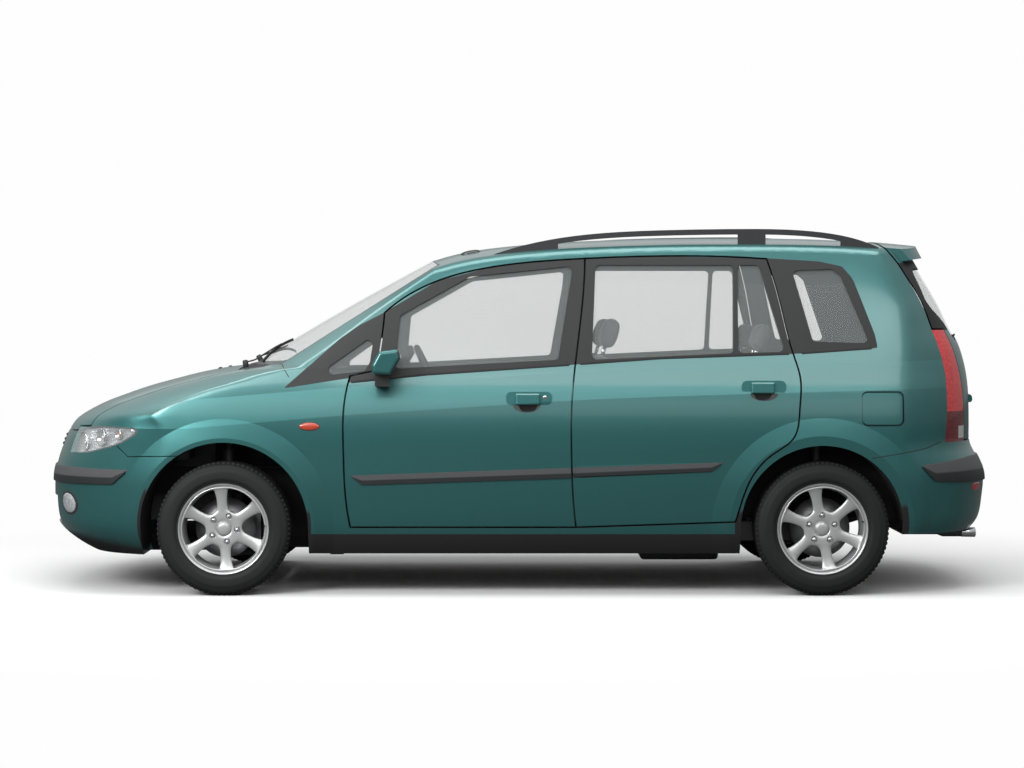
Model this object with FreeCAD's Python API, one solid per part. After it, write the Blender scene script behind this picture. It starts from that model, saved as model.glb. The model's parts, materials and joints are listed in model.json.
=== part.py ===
import FreeCAD, Part
import math
import os
from FreeCAD import Vector as V

os.makedirs("parts", exist_ok=True)

# Compact five-door minivan. X runs from the nose to the tail, Y to the right-hand side, Z up.
# The origin is on the ground, at the middle of the length and width. All lengths are in mm.

# Driving sizes
body_length = 4340.0
body_width = 1700.0
roof_height = 1618.0
front_axle_x = -1320.0
rear_axle_x = 1350.0
wheel_centre_z = 298.0
track = 1470.0
overrun = 400.0
seat_gap = 0.3
panel_gap = 8.0
moving_gap = 8.0

# Walls of the body
door_wall = 72.0
pillar_wall = 42.0
roof_wall = 34.0
tail_wall = 62.0
wing_wall = 26.0
bonnet_wall = 24.0
bumper_wall = 46.0
roof_edge_radius = 65.0
roof_crown = 55.0
roof_side_y = 640.0
glass_recess = 6.0
glass_thickness = 5.0
sill_low_z = 182.0
floor_thickness = 36.0
firewall_x = -1090.0
firewall_thickness = 30.0

# Wheels and tyres
tyre_radius = 298.0
tyre_width = 196.0
rim_radius = 203.0
rim_width = 172.0
rim_wall = 11.0
hub_radius = 84.0
bore_radius = 24.0
spoke_count = 6
nut_circle_radius = 57.15
nut_radius = 9.5
nut_count = 5
brake_radius = 129.0
brake_thickness = 24.0
front_arch_radius = 376.0
rear_arch_radius = 362.0
arch_lift = 10.0
wheelhouse_inner_y = 440.0
rear_wheelhouse_inner_y = 560.0

# Steering
kingpin_low_y = 652.0
kingpin_low_z = 186.0
kingpin_lean = math.radians(9)
strut_radius = 26.0
strut_top_z = 800.0

half_width = body_width / 2
half_length = body_length / 2
floor_low_share = 0.125
roof_edge_low_share = 0.88

# Outline of the body seen from the side and in plan: shares of roof height, length and half width
nose_shares = [
    (0.105, -0.4585), (0.130, -0.4747), (0.1545, -0.4862), (0.179, -0.4949), (0.210, -0.4984),
    (0.247, -0.5), (0.309, -0.5), (0.334, -0.4988), (0.3585, -0.4965), (0.383, -0.4938),
    (0.408, -0.4903), (0.4326, -0.4866), (0.4574, -0.4816), (0.478, -0.476), (0.498, -0.4654),
    (0.528, -0.4435), (0.548, -0.4235), (0.5686, -0.4014), (0.592, -0.3698), (0.613, -0.3376),
    (0.624, -0.3134), (0.6316, -0.2938), (0.649, -0.28), (0.6774, -0.2624), (0.748, -0.2184),
    (0.816, -0.1742), (0.881, -0.1302), (0.913, -0.1081), (0.933, -0.0945), (0.964, -0.0714),
    (1.026, -0.0253)]
tail_shares = [
    (0.105, 0.4585), (0.142, 0.477), (0.1774, 0.4885), (0.1996, 0.4945), (0.247, 0.4977),
    (0.2905, 0.5), (0.3127, 0.5), (0.346, 0.4972), (0.371, 0.4931), (0.3956, 0.488),
    (0.420, 0.4846), (0.470, 0.4846), (0.539, 0.4843), (0.593, 0.4829), (0.635, 0.4802),
    (0.692, 0.4737), (0.743, 0.4641), (0.805, 0.453), (0.865, 0.4406), (0.904, 0.4323),
    (0.931, 0.4267), (0.964, 0.4207), (1.026, 0.4113)]
side_shares = [
    (0.105, 0.865), (0.130, 0.9), (0.161, 0.929), (0.198, 0.951), (0.247, 0.969),
    (0.309, 0.986), (0.371, 0.995), (0.4326, 1.0), (0.482, 0.998), (0.5315, 0.988),
    (0.575, 0.972), (0.618, 0.948), (0.680, 0.915), (0.742, 0.88), (0.8035, 0.842),
    (0.865, 0.8), (0.927, 0.753), (0.964, 0.72), (1.026, 0.659)]
front_round_shares = [
    (0.105, 0.138), (0.371, 0.1475), (0.470, 0.129), (0.498, 0.108), (0.548, 0.101),
    (0.592, 0.097), (0.632, 0.081), (0.680, 0.076), (0.8035, 0.055), (0.927, 0.035), (1.026, 0.028)]
rear_round_shares = [
    (0.105, 0.097), (0.371, 0.111), (0.556, 0.108), (0.680, 0.092), (0.8035, 0.069), (1.026, 0.06)]
front_power_shares = [(0.105, 3.4), (0.4326, 3.4), (0.507, 3.0), (0.618, 2.8), (1.026, 2.6)]
rear_power_share = 3.3
roof_shares = [
    (-0.2074, 0.878), (-0.1152, 0.92), (-0.0968, 0.930), (-0.0859, 0.939), (-0.0749, 0.948),
    (-0.0528, 0.961), (-0.0306, 0.970), (0.023, 0.984), (0.113, 0.996), (0.207, 1.0),
    (0.311, 0.9975), (0.369, 0.990), (0.415, 0.980), (0.484, 0.958)]
level_shares = [
    0.105, 0.124, 0.145, 0.167, 0.192, 0.222, 0.26, 0.297, 0.328, 0.352, 0.377, 0.402, 0.427,
    0.448, 0.467, 0.482, 0.496, 0.508, 0.52, 0.533, 0.545, 0.557, 0.57, 0.582, 0.594, 0.606,
    0.616, 0.624, 0.633, 0.644, 0.658, 0.677, 0.698, 0.723, 0.748, 0.776, 0.803, 0.831, 0.859,
    0.887, 0.915, 0.94, 0.964, 0.989, 1.014]
plan_bow_share = 0.012

# Outlines on the side of the body: shares of length and roof height
door_front_shares = [(-0.174, 0.606), (-0.1802, 0.520), (-0.1806, 0.399), (-0.1781, 0.258),
                     (-0.174, 0.188)]
door_front_high_shares = [(-0.1395, 0.780), (-0.1411, 0.732), (-0.1439, 0.674), (-0.146, 0.622)]
door_front_top_shares = [(-0.1395, 0.780), (-0.085, 0.869), (-0.0286, 0.908), (0.0166, 0.923),
                         (0.0686, 0.932)]
door_middle_shares = [(0.0686, 0.932), (0.0571, 0.631), (0.0535, 0.530), (0.053, 0.410),
                      (0.0551, 0.261), (0.0581, 0.188)]
door_rear_top_shares = [(0.0686, 0.932), (0.126, 0.938), (0.207, 0.938), (0.2583, 0.931)]
door_rear_shares = [(0.2583, 0.931), (0.2689, 0.8245), (0.282, 0.666), (0.2885, 0.601),
                    (0.2873, 0.516), (0.2806, 0.434), (0.26, 0.391), (0.2385, 0.328),
                    (0.2272, 0.2515), (0.2219, 0.2027)]
door_low_share = 0.188
vent_glass_shares = [(-0.21, 0.6045), (-0.159, 0.6193), (-0.154, 0.643), (-0.1498, 0.72)]
front_glass_shares = [(-0.129, 0.6255), (0.0396, 0.650), (0.056, 0.911), (-0.0514, 0.881),
                      (-0.1235, 0.7726)]
rear_glass_shares = [(0.0744, 0.65), (0.2205, 0.668), (0.2233, 0.9135), (0.0795, 0.9135)]
fixed_glass_shares = [(0.2253, 0.668), (0.2737, 0.672), (0.2498, 0.9135), (0.2272, 0.9135)]
quarter_glass_shares = [(0.3028, 0.7), (0.3555, 0.696), (0.3597, 0.704), (0.334, 0.885),
                        (0.326, 0.902), (0.2841, 0.8985)]
screen_shares = [(-0.34, 0.635), (-0.2486, 0.635), (-0.0843, 0.917), (-0.0945, 0.934), (-0.2, 1.0)]
tail_lamp_shares = [(0.4290, 0.7318), (0.4332, 0.7046), (0.4387, 0.6576), (0.4424, 0.6075),
                    (0.4431, 0.5556), (0.4431, 0.5056), (0.4403, 0.4203)]
head_lamp_shares = [(-0.502, 0.386), (-0.4479, 0.39), (-0.421, 0.408), (-0.4106, 0.418),
                    (-0.3938, 0.443), (-0.3915, 0.4567), (-0.3965, 0.4623), (-0.4311, 0.4654),
                    (-0.4544, 0.4604), (-0.502, 0.4525)]
rear_screen_shares = [(0.6, 0.703), (0.625, 0.748), (0.73, 0.8), (0.63, 0.905)]
lamp_inner_y_share = 0.68
rear_lamp_inner_y_share = 0.69
moulding_shares = {
    "front": [(-0.174, 0.3313), (-0.1618, 0.3066), (0.06, 0.3263), (0.06, 0.3529)],
    "rear": [(0.0577, 0.3293), (0.1959, 0.3436), (0.2092, 0.3677), (0.0577, 0.3564)]}
handle_shares = {"front": (-0.0138, 0.0332, 0.5259, 0.5624), "rear": (0.2279, 0.2735, 0.5569, 0.5927)}
front_strip_shares = [(-0.53, 0.3035), (-0.482, 0.3035), (-0.42, 0.306), (-0.403, 0.3449),
                      (-0.482, 0.348), (-0.53, 0.348)]
rear_strip_shares = [(0.4124, 0.3579), (0.4724, 0.3782), (0.53, 0.3782), (0.53, 0.3084),
                     (0.4777, 0.3084), (0.4276, 0.3152)]
spoiler_shares = [(0.384, 1.05), (0.384, 0.966), (0.4007, 0.9246), (0.4378, 0.9394),
                  (0.48, 0.9394), (0.48, 1.05)]
bumper_top_shares = [(-0.6, 0.0), (-0.33, 0.0), (-0.33, 0.3855), (-0.4028, 0.3815),
                     (-0.4154, 0.4115), (-0.46, 0.452), (-0.6, 0.452)]
rear_bumper_shares = [(0.3645, 0.16), (0.3645, 0.378), (0.4134, 0.3975), (0.4382, 0.4203),
                      (0.6, 0.4203), (0.6, 0.16)]
pillar_shares = [(0.046, 0.14), (0.066, 0.14), (0.064, 0.41), (0.07, 0.63), (0.082, 0.99),
                 (0.056, 0.99), (0.047, 0.63), (0.043, 0.41)]
tail_region_shares = [(0.382, 1.05), (0.382, 0.966), (0.3961, 0.918), (0.4131, 0.8405),
                      (0.4219, 0.7905), (0.4290, 0.7318), (0.4332, 0.7046), (0.4387, 0.6576),
                      (0.4424, 0.6075), (0.4431, 0.5556), (0.4431, 0.5056), (0.4403, 0.4203),
                      (0.6, 0.4203), (0.6, 1.05)]
wing_shares = [(-0.46, 0.4555), (-0.4154, 0.4145), (-0.4028, 0.384), (-0.33, 0.388), (-0.33, 0.188),
               (-0.174, 0.188), (-0.174, 0.6), (-0.2405, 0.572), (-0.2486, 0.635), (-0.3, 0.66),
               (-0.46, 0.66)]

# Smoothing of the skin, with the share of height where the walls become thin
thick_wall_share = 0.575
thin_wall_share = 0.66
nose_points = 12
tail_points = 9
side_steps = 9
roof_rows = 34
roof_columns = 17
roof_power = 2.2
corner_room_share = 0.45

# Doors, their glass and the fuel flap
glass_corner_radius = 22.0
rear_glass_radius = 60.0
pillar_depth = 58.0
post_rear_x = -740.0
middle_seal_x = 262.0
seal_width = 14.0
flap_low_x = 1527.0
flap_high_x = 1708.0
flap_low_z = 760.0
flap_high_z = 908.0
flap_corner_radius = 26.0
flap_thickness = 7.0
flap_pocket_depth = 42.0

# Mouldings, bumper strips and door handles
trim_proud = 8.0
trim_sunk = 10.0
strip_round = 8.0
plate_proud = 5.0
handle_round = 24.0
handle_root = 22.0
grip_proud = 20.0
grip_inset = 8.0
grip_round = 7.0
cup_start_share = 0.17
cup_end_share = 0.78
cup_drop = 30.0
cup_depth = 24.0

# Bonnet, cowl, lamps, grille and air intake
bonnet_half_width = 655.0
bonnet_rear_x = -1268.0
bonnet_front_share = 0.452
buffer_radius = 14.0
buffer_y = 520.0
cowl_rear_x = -1010.0
cowl_half_width = 668.0
cowl_low_z = 930.0
cowl_depth = 190.0
lamp_corner_radius = 14.0
lamp_depth = 130.0
tail_lamp_depth = 100.0
grille_half_width = 400.0
grille_low_z = 632.0
grille_depth = 150.0
grille_bar = 12.0
slot_count = 4
intake_half_width = 470.0
intake_low_z = 300.0
intake_high_z = 425.0

# Bulkhead, floor, rails, wheelhouses and jacking pads
firewall_top_share = 0.62
front_jack_x = -820.0
rear_jack_x = 860.0
jack_y = 700.0
jack_pad_length = 60.0
jack_pad_width = 40.0
jack_pad_height = 6.0
boot_floor_z = 330.0
liner_thickness = 9.0
rail_front_x = -1830.0
rail_section = 60.0
side_rail_z = 430.0
tower_radius = 78.0
tower_height = 40.0
strut_top_y = 560.0

# Tailgate spoiler and rear bumper
spoiler_reach = 46.0
spoiler_rise = 3.0
spoiler_half_width = 560.0
bumper_low_z = 272.0
gate_buffer_x = 2066.0
gate_buffer_y = 400.0

# Tyre and wheel sections
tread_shoulder = 12.0
tread_drop = 8.0
tyre_bulge_radius = 250.0
bead_depth = 12.0
rim_lip = 4.0
rim_drop = 8.0
face_set_back = 22.0
hub_depth = 34.0
hub_wall = 12.0
spoke_root_width = 60.0
spoke_tip_width = 44.0
spoke_sweep = 26.0
spoke_depth = 30.0
spindle_end_y = 44.0
disc_y = 10.0
nut_pit_wall = 5.0
nut_pit_depth = 20.0

# Knuckles and axles
strut_mid_z = 640.0
knuckle_width = 44.0
ball_radius = 12.0
ball_height = 22.0
steer_arm_length = 110.0
caliper_overhang = 26.0
caliper_height = 130.0
arm_half_width = 14.0
arm_neck_length = 90.0
arm_spread = 180.0
arm_thickness = 22.0
pedestal_half_width = 90.0
subframe_half_width = 424.0
subframe_height = 60.0
beam_radius = 34.0
rear_hub_y = 618.0
trail_width = 46.0
damper_radius = 20.0

# Fuel tank and exhaust
tank_x = 560.0
tank_length = 360.0
tank_half_width = 420.0
tank_depth = 60.0
tank_corner_radius = 20.0
pipe_y = 455.0
pipe_z = 150.0
pipe_radius = 24.0
pipe_front_x = -1020.0
silencer_x = 1760.0
silencer_length = 200.0
silencer_half_width = 490.0
silencer_depth = 84.0
tailpipe_y = 420.0
tailpipe_z = 250.0
tailpipe_radius = 20.0
tailpipe_end_x = 2104.0

# Dashboard and steering wheel
dash_low_z = 640.0
dash_top_z = 985.0
dash_rear_x = -655.0
dash_round = 40.0
dash_half_width = 760.0
driver_y = 370.0
wheel_hub_x = -396.0
wheel_hub_z = 937.0
column_tilt = math.radians(25)
column_length = 300.0
hub_thickness = 48.0
sleeve_radius = 42.0
shaft_radius = 14.0
hood_length = 60.0
hood_half_width = 160.0
hood_height = 34.0
console_rear_x = -560.0
console_half_width = 105.0
wheel_rim_radius = 190.0
wheel_rim_section = 15.0
wheel_hub_radius = 74.0
wheel_spoke_width = 46.0

# Seats
front_seat_x = -280.0
front_seat_z = 570.0
front_seat_length = 510.0
front_seat_half_width = 245.0
rear_seat_x = 470.0
rear_seat_z = 590.0
rear_seat_length = 470.0
rear_seat_half_width = 535.0
rear_rest_y = 340.0
cushion_height = 130.0
seat_round = 34.0
seat_back_height = 720.0
back_lean = 17.0
back_thickness = 110.0
rest_thickness = 84.0
rest_half_width = 128.0
rest_gap = 24.0
rest_height = 150.0
stem_radius = 7.0

# Door mirrors, whose shell is an outline of X and Z
mirror_places = [(-652.0, 1030.0), (-620.0, 1090.0), (-536.0, 1101.0), (-524.0, 1062.0),
                 (-568.0, 987.0), (-650.0, 991.0)]
mirror_round = 16.0
mirror_outer_y = 985.0
mirror_width = 145.0
mirror_foot_x = -640.0
mirror_foot_length = 64.0
mirror_foot_z = 935.0
mirror_foot_height = 66.0

# Engine
engine_length = 420.0
engine_width = 620.0
engine_height = 470.0
engine_x = -1560.0
engine_low_z = 300.0

# Roof rails
rail_y = 552.0
rail_width = 44.0
rail_bar_height = 24.0
rail_base_share = 0.9
rail_top_shares = [(-0.0263, 0.945), (0.0401, 0.9895), (0.1484, 1.0124), (0.2346, 1.0161),
                   (0.3152, 1.0074), (0.3555, 0.9864), (0.3775, 0.9640)]
rail_front_gap_shares = (0.041, 0.2304)
rail_rear_gap_shares = (0.2588, 0.3387)


def x_at(share):
    return share * body_length


def z_at(share):
    return share * roof_height


def smooth_rule(table):
    """A smooth curve through the pairs of a table that never swings past them."""
    xs = [pair[0] for pair in table]
    ys = [pair[1] for pair in table]
    count = len(xs)
    rise = [(ys[i + 1] - ys[i]) / (xs[i + 1] - xs[i]) for i in range(count - 1)]
    slope = [rise[0]]
    for i in range(1, count - 1):
        slope.append(0 if rise[i - 1] * rise[i] <= 0 else (rise[i - 1] + rise[i]) / 2)
    slope.append(rise[-1])
    for i in range(count - 1):
        if rise[i] == 0:
            slope[i] = slope[i + 1] = 0
            continue
        steep = math.hypot(slope[i] / rise[i], slope[i + 1] / rise[i])
        if steep > 3:
            slope[i] *= 3 / steep
            slope[i + 1] *= 3 / steep

    def value(x):
        if x <= xs[0]:
            return ys[0] + slope[0] * (x - xs[0])
        if x >= xs[-1]:
            return ys[-1] + slope[-1] * (x - xs[-1])
        i = max(j for j in range(count - 1) if xs[j] <= x)
        step = xs[i + 1] - xs[i]
        t = (x - xs[i]) / step
        return ((2 * t**3 - 3 * t**2 + 1) * ys[i] + (t**3 - 2 * t**2 + t) * step * slope[i]
                + (3 * t**2 - 2 * t**3) * ys[i + 1] + (t**3 - t**2) * step * slope[i + 1])
    return value


nose_rule = smooth_rule(nose_shares)
tail_rule = smooth_rule(tail_shares)
side_rule = smooth_rule(side_shares)
front_round_rule = smooth_rule(front_round_shares)
rear_round_rule = smooth_rule(rear_round_shares)
front_power_rule = smooth_rule(front_power_shares)
roof_rule = smooth_rule(roof_shares)


def rounded_end(end_x, length, width, power, count, way):
    """Points from the middle of a rounded end to where it meets the straight side."""
    steps = 240
    dense = []
    for i in range(steps + 1):
        turn = math.pi / 2 * i / steps
        reach = width * math.sin(turn)**(2 / power) if i else 0
        dense.append((end_x + way * length * (1 - math.cos(turn)), reach))
    run = [0]
    for a, b in zip(dense, dense[1:]):
        run.append(run[-1] + math.hypot(b[0] - a[0], b[1] - a[1]))
    points, j = [], 0
    for i in range(count):
        aim = run[-1] * i / (count - 1)
        while j < steps - 1 and run[j + 1] < aim:
            j += 1
        t = (aim - run[j]) / (run[j + 1] - run[j])
        points.append((dense[j][0] + t * (dense[j + 1][0] - dense[j][0]),
                       dense[j][1] + t * (dense[j + 1][1] - dense[j][1])))
    return points


def side_inset(share, low_inset, high_inset):
    """The wall is thick below the window line and thinner around the glass."""
    t = (share - thick_wall_share) / (thin_wall_share - thick_wall_share)
    t = min(1, max(0, t))
    return low_inset + (high_inset - low_inset) * t * t * (3 - 2 * t)


def level_outline(share, low_inset, high_inset, end_inset, fall):
    """The body's outline in plan at one height, set in by a wall."""
    read = share + fall / roof_height
    inset = side_inset(share, low_inset, high_inset)
    front = x_at(nose_rule(read)) + end_inset
    rear = x_at(tail_rule(read)) - end_inset
    width = side_rule(read) * half_width - inset
    front_length = front_round_rule(read) * body_length
    rear_length = rear_round_rule(read) * body_length
    head = rounded_end(front, front_length, width, front_power_rule(read), nose_points, 1)
    foot = rounded_end(rear, rear_length, width, rear_power_share, tail_points, -1)
    start, stop = front + front_length, rear - rear_length
    middle = [(start + (stop - start) * i / side_steps, width) for i in range(1, side_steps)]
    half = head + middle + foot[::-1]
    bowed = [(x, y * (1 - plan_bow_share * (x / half_length)**2)) for x, y in half]
    height = z_at(share)
    left = [V(x, -y, height) for x, y in bowed]
    right = [V(x, y, height) for x, y in bowed[1:-1]]
    return left + right[::-1]


def skin_solid(low_inset=0, high_inset=0, end_inset=0, fall=0, levels=level_shares):
    """A closed solid inside one smooth skin, set in from the outside of the body."""
    rows = [level_outline(share, low_inset, high_inset, end_inset, fall) for share in levels]
    count = len(rows[0])
    around = [i / count for i in range(count + 1)]
    pole_rows = []
    for row in rows:
        ring = Part.BSplineCurve()
        ring.interpolate(Points=row, PeriodicFlag=True, Parameters=around)
        pole_rows.append(ring.getPoles())
    upward = [0]
    for a, b in zip(rows, rows[1:]):
        upward.append(upward[-1] + sum((p - q).Length for p, q in zip(a, b)) / count)
    upward = [value / upward[-1] for value in upward]
    columns = []
    for i in range(len(pole_rows[0])):
        rib = Part.BSplineCurve()
        rib.interpolate(Points=[row[i] for row in pole_rows], PeriodicFlag=False, Parameters=upward)
        columns.append(rib.getPoles())
    skin = Part.BSplineSurface()
    skin.buildFromPolesMultsKnots(columns, ring.getMultiplicities(), rib.getMultiplicities(),
                                  ring.getKnots(), rib.getKnots(), True, False,
                                  ring.Degree, rib.Degree)
    face = skin.toShape()
    lids = [Part.Face(Part.Wire([edge])) for edge in face.Edges if edge.isClosed()]
    shell = Part.Compound([face] + lids)
    shell.sewShape()
    solid = Part.Solid(shell if shell.ShapeType == "Shell" else shell.Shells[0])
    if solid.Volume < 0:
        solid.reverse()
    return solid


def roof_block(fall=0):
    """Everything above the crowned roof, as a block to cut with."""
    rows = []
    for i in range(roof_rows):
        share = roof_shares[0][0] + (roof_shares[-1][0] - roof_shares[0][0]) * i / (roof_rows - 1)
        row = []
        for j in range(roof_columns):
            across = 2 * j / (roof_columns - 1) - 1
            drop = roof_crown * abs(across * half_width / roof_side_y)**roof_power
            row.append(V(x_at(share), across * half_width, z_at(roof_rule(share)) - fall - drop))
        rows.append(row)
    surface = Part.BSplineSurface()
    surface.interpolate(rows)
    return surface.toShape().extrude(V(0, 0, overrun))


def run_edge(points):
    """One edge through points: a straight line for two, a smooth curve for more."""
    if len(points) == 2:
        return Part.LineSegment(points[0], points[1]).toShape()
    curve = Part.BSplineCurve()
    curve.interpolate(points)
    return curve.toShape()


def side_points(shares):
    return [V(x_at(a), 0, z_at(b)) for a, b in shares]


def across(wire):
    """A prism right across the body from a closed outline in the side view."""
    face = Part.Face(wire)
    face.translate(V(0, -half_width - overrun, 0))
    return face.extrude(V(0, body_width + 2 * overrun, 0))


def rounded_outline(points, radius):
    """A closed outline through corner points, each corner rounded."""
    edges, count = [], len(points)
    starts, ends = [], []
    for i in range(count):
        before, here, after = points[i - 1], points[i], points[(i + 1) % count]
        a = (before - here).normalize()
        b = (after - here).normalize()
        half = a.getAngle(b) / 2
        room = corner_room_share * min((before - here).Length, (after - here).Length)
        back = min(radius / math.tan(half), room)
        reach = back / math.cos(half)
        bulge = reach - back * math.tan(half)
        centre_way = (a + b).normalize()
        starts.append(here + a * back)
        ends.append(here + b * back)
        edges.append(Part.Arc(here + a * back, here + centre_way * bulge, here + b * back).toShape())
    for i in range(count):
        edges.append(Part.LineSegment(ends[i], starts[(i + 1) % count]).toShape())
    return Part.Wire(Part.__sortEdges__(edges))


def grown_outline(runs, distance):
    """A closed outline from runs of points in the side view, grown outwards by a distance."""
    sampled = []
    for run in runs:
        edge = run_edge(run)
        points = edge.discretize(Number=2 if len(run) == 2 else 3 * len(run))
        if (points[0] - run[0]).Length > (points[-1] - run[0]).Length:
            points = points[::-1]
        sampled.append(points)
    corners = [p for points in sampled for p in points[:-1]]
    area = sum(a.x * b.z - b.x * a.z for a, b in zip(corners, corners[1:] + corners[:1]))
    side = 1 if area > 0 else -1

    def normal(a, b):
        way = (b - a).normalize()
        return V(way.z, 0, -way.x) * side

    edges, count = [], len(sampled)
    moved_runs = []
    for i, points in enumerate(sampled):
        before, after = sampled[i - 1], sampled[(i + 1) % count]
        chain = [before[-2]] + points + [after[1]]
        moved = []
        for a, here, b in zip(chain, chain[1:], chain[2:]):
            m, n = normal(a, here), normal(here, b)
            moved.append(here + (m + n) * (distance / (1 + m.dot(n))))
        moved_runs.append(moved)
    for i, moved in enumerate(moved_runs):
        moved[-1] = moved_runs[(i + 1) % count][0]
        edges.append(run_edge(moved))
    return Part.Wire(Part.__sortEdges__(edges))


def hollow(outside, inside):
    """The wall between an outside skin and an inside skin that never touch."""
    return Part.makeSolid(Part.Compound([outside.Shells[0], inside.Shells[0].reversed()]))


def box_between(x0, x1, y0, y1, z0, z1):
    return Part.makeBox(x1 - x0, y1 - y0, z1 - z0, V(x0, y0, z0))


def wide_box(x0, x1, z0, z1):
    return box_between(x0, x1, -half_width - overrun, half_width + overrun, z0, z1)


def cylinder_y(x, z, radius, y0, y1):
    return Part.makeCylinder(radius, y1 - y0, V(x, y0, z), V(0, 1, 0))


def left_of(shape):
    return Part.Compound([s for s in shape.Solids if s.CenterOfMass.y < 0])


def mirrored(shape):
    return shape.mirror(V(0, 0, 0), V(0, 1, 0))


def both_sides(shape):
    return Part.Compound(shape.Solids + mirrored(shape).Solids)


def largest(shape, count=1):
    return sorted(shape.Solids, key=lambda s: -s.Volume)[:count]


def joined(shapes):
    """Several solids fused into one, with split faces merged."""
    return shapes[0].fuse(shapes[1:]).removeSplitter()


def save(shape, name):
    solids = shape.Solids
    kept = solids[0] if len(solids) == 1 else Part.Compound(solids)
    if not kept.isValid():
        print("not valid:", name)
    kept.exportStep("parts/" + name + ".step")
    print(name, len(solids), round(kept.Volume / 1e6, 3))


# Skins and hollows
inner_levels = [share for share in level_shares if share > floor_low_share]
outer = skin_solid().cut(roof_block())
roof_edges = [e for e in outer.Edges if e.BoundBox.ZMin > z_at(roof_edge_low_share) and e.Length > half_length]
outer = outer.makeFillet(roof_edge_radius, roof_edges)
inner = skin_solid(door_wall, pillar_wall, tail_wall, roof_wall, inner_levels).cut(roof_block(roof_wall))
wing_inner = skin_solid(wing_wall, wing_wall, bumper_wall, bonnet_wall, inner_levels)
wing_inner = wing_inner.cut(roof_block(roof_wall))
wall = hollow(outer, inner)
front_wall = hollow(outer, wing_inner)
pane_depth = glass_recess + glass_thickness
glass_layer = hollow(skin_solid(glass_recess, glass_recess, glass_recess),
                     skin_solid(pane_depth, pane_depth, pane_depth, glass_thickness / 2, inner_levels))

# The layer that mouldings and bumper strips stand in, and the outlines of these strips
trim_layer = hollow(skin_solid(-trim_proud, -trim_proud, -trim_proud),
                    skin_solid(trim_sunk, trim_sunk, trim_sunk, trim_sunk, inner_levels))


def strip_prism(shares):
    return across(rounded_outline(side_points(shares), strip_round))


# Outlines of doors and windows
door_runs = {
    "front": [side_points(door_front_top_shares), side_points(door_middle_shares),
              side_points([door_middle_shares[-1], door_front_shares[-1]]),
              side_points(door_front_shares[::-1]),
              side_points([door_front_shares[0], door_front_high_shares[-1]]),
              side_points(door_front_high_shares[::-1])],
    "rear": [side_points(door_rear_top_shares), side_points(door_rear_shares),
             side_points([door_rear_shares[-1], door_middle_shares[-1]]),
             side_points(door_middle_shares[::-1])]}
door_prisms = {place: across(grown_outline(runs, -panel_gap / 2)) for place, runs in door_runs.items()}
door_holes = {place: across(grown_outline(runs, panel_gap / 2)) for place, runs in door_runs.items()}


def glass_prism(shares):
    return across(rounded_outline(side_points(shares), glass_corner_radius))


window_prisms = {
    "front": glass_prism(front_glass_shares),
    "rear": Part.Compound([glass_prism(rear_glass_shares), glass_prism(fixed_glass_shares)])}
body_window_prisms = Part.Compound([glass_prism(vent_glass_shares), glass_prism(quarter_glass_shares)])
screen_prism = across(Part.makePolygon(side_points(screen_shares + screen_shares[:1])))


def arch_block(axle_x, radius, inner_y):
    """The space of one wheel arch on the right, round at the top and straight below."""
    top = cylinder_y(axle_x, wheel_centre_z + arch_lift, radius, inner_y, half_width + overrun)
    low = box_between(axle_x - radius, axle_x + radius, inner_y, half_width + overrun,
                      -overrun, wheel_centre_z + arch_lift)
    return top.fuse(low)


front_arch = both_sides(arch_block(front_axle_x, front_arch_radius, wheelhouse_inner_y))
rear_arch = both_sides(arch_block(rear_axle_x, rear_arch_radius, rear_wheelhouse_inner_y))


def skin_y(x, z):
    """How far the left side of the skin stands from the middle plane at a place."""
    beam = Part.makeLine(V(x, -half_width - overrun, z), V(x, 0, z))
    return beam.common(outer).BoundBox.YMin


def door_handle(x0, x1, z0, z1):
    """The cup to cut into the left door and the plate with its grip to add over it."""
    length = x1 - x0
    y = skin_y((x0 + x1) / 2, (z0 + z1) / 2)
    cup_x0, cup_x1 = x0 + cup_start_share * length, x0 + cup_end_share * length
    cup_low_z = z0 - cup_drop
    cup_places = [(cup_x0, z1), (cup_x1, z1), (cup_x1 - cup_drop, cup_low_z), (cup_x0 + cup_drop, cup_low_z)]
    cup = Part.Face(rounded_outline([V(x, 0, z) for x, z in cup_places], cup_drop))
    cup.translate(V(0, y - overrun, 0))
    cup = cup.extrude(V(0, overrun + cup_depth, 0))
    plate_corners = [V(x0, 0, z0), V(x1, 0, z0), V(x1, 0, z1), V(x0, 0, z1)]
    plate = Part.Face(rounded_outline(plate_corners, handle_round))
    plate.translate(V(0, y - plate_proud, 0))
    plate = plate.extrude(V(0, handle_root, 0))
    grip = box_between(cup_x0 + grip_inset, cup_x1 - grip_inset, y - grip_proud, y, z0, z1 - grip_inset)
    grip = grip.makeFillet(grip_round, [e for e in grip.Edges if e.BoundBox.YMin < y - grip_round])
    return cup, [plate, grip]


# Side doors and their glass
for place, pane_count in (("front", 1), ("rear", 2)):
    panel = wall.common(door_prisms[place]).cut(window_prisms[place])
    if place == "rear":
        panel = panel.cut(rear_arch)
    left = largest(left_of(panel))[0]
    moulding = left_of(trim_layer.common(strip_prism(moulding_shares[place])).common(door_prisms[place]))
    low_x, high_x, low_z, high_z = handle_shares[place]
    cup, handle = door_handle(x_at(low_x), x_at(high_x), z_at(low_z), z_at(high_z))
    left = largest(joined([left.cut(cup)] + moulding.Solids + handle))[0]
    save(left, place + "_door_left")
    save(mirrored(left), place + "_door_right")
    panes = glass_layer.common(window_prisms[place])
    left_panes = Part.Compound(largest(left_of(panes), pane_count))
    save(left_panes, place + "_door_glass_left")
    save(mirrored(left_panes), place + "_door_glass_right")


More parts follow.
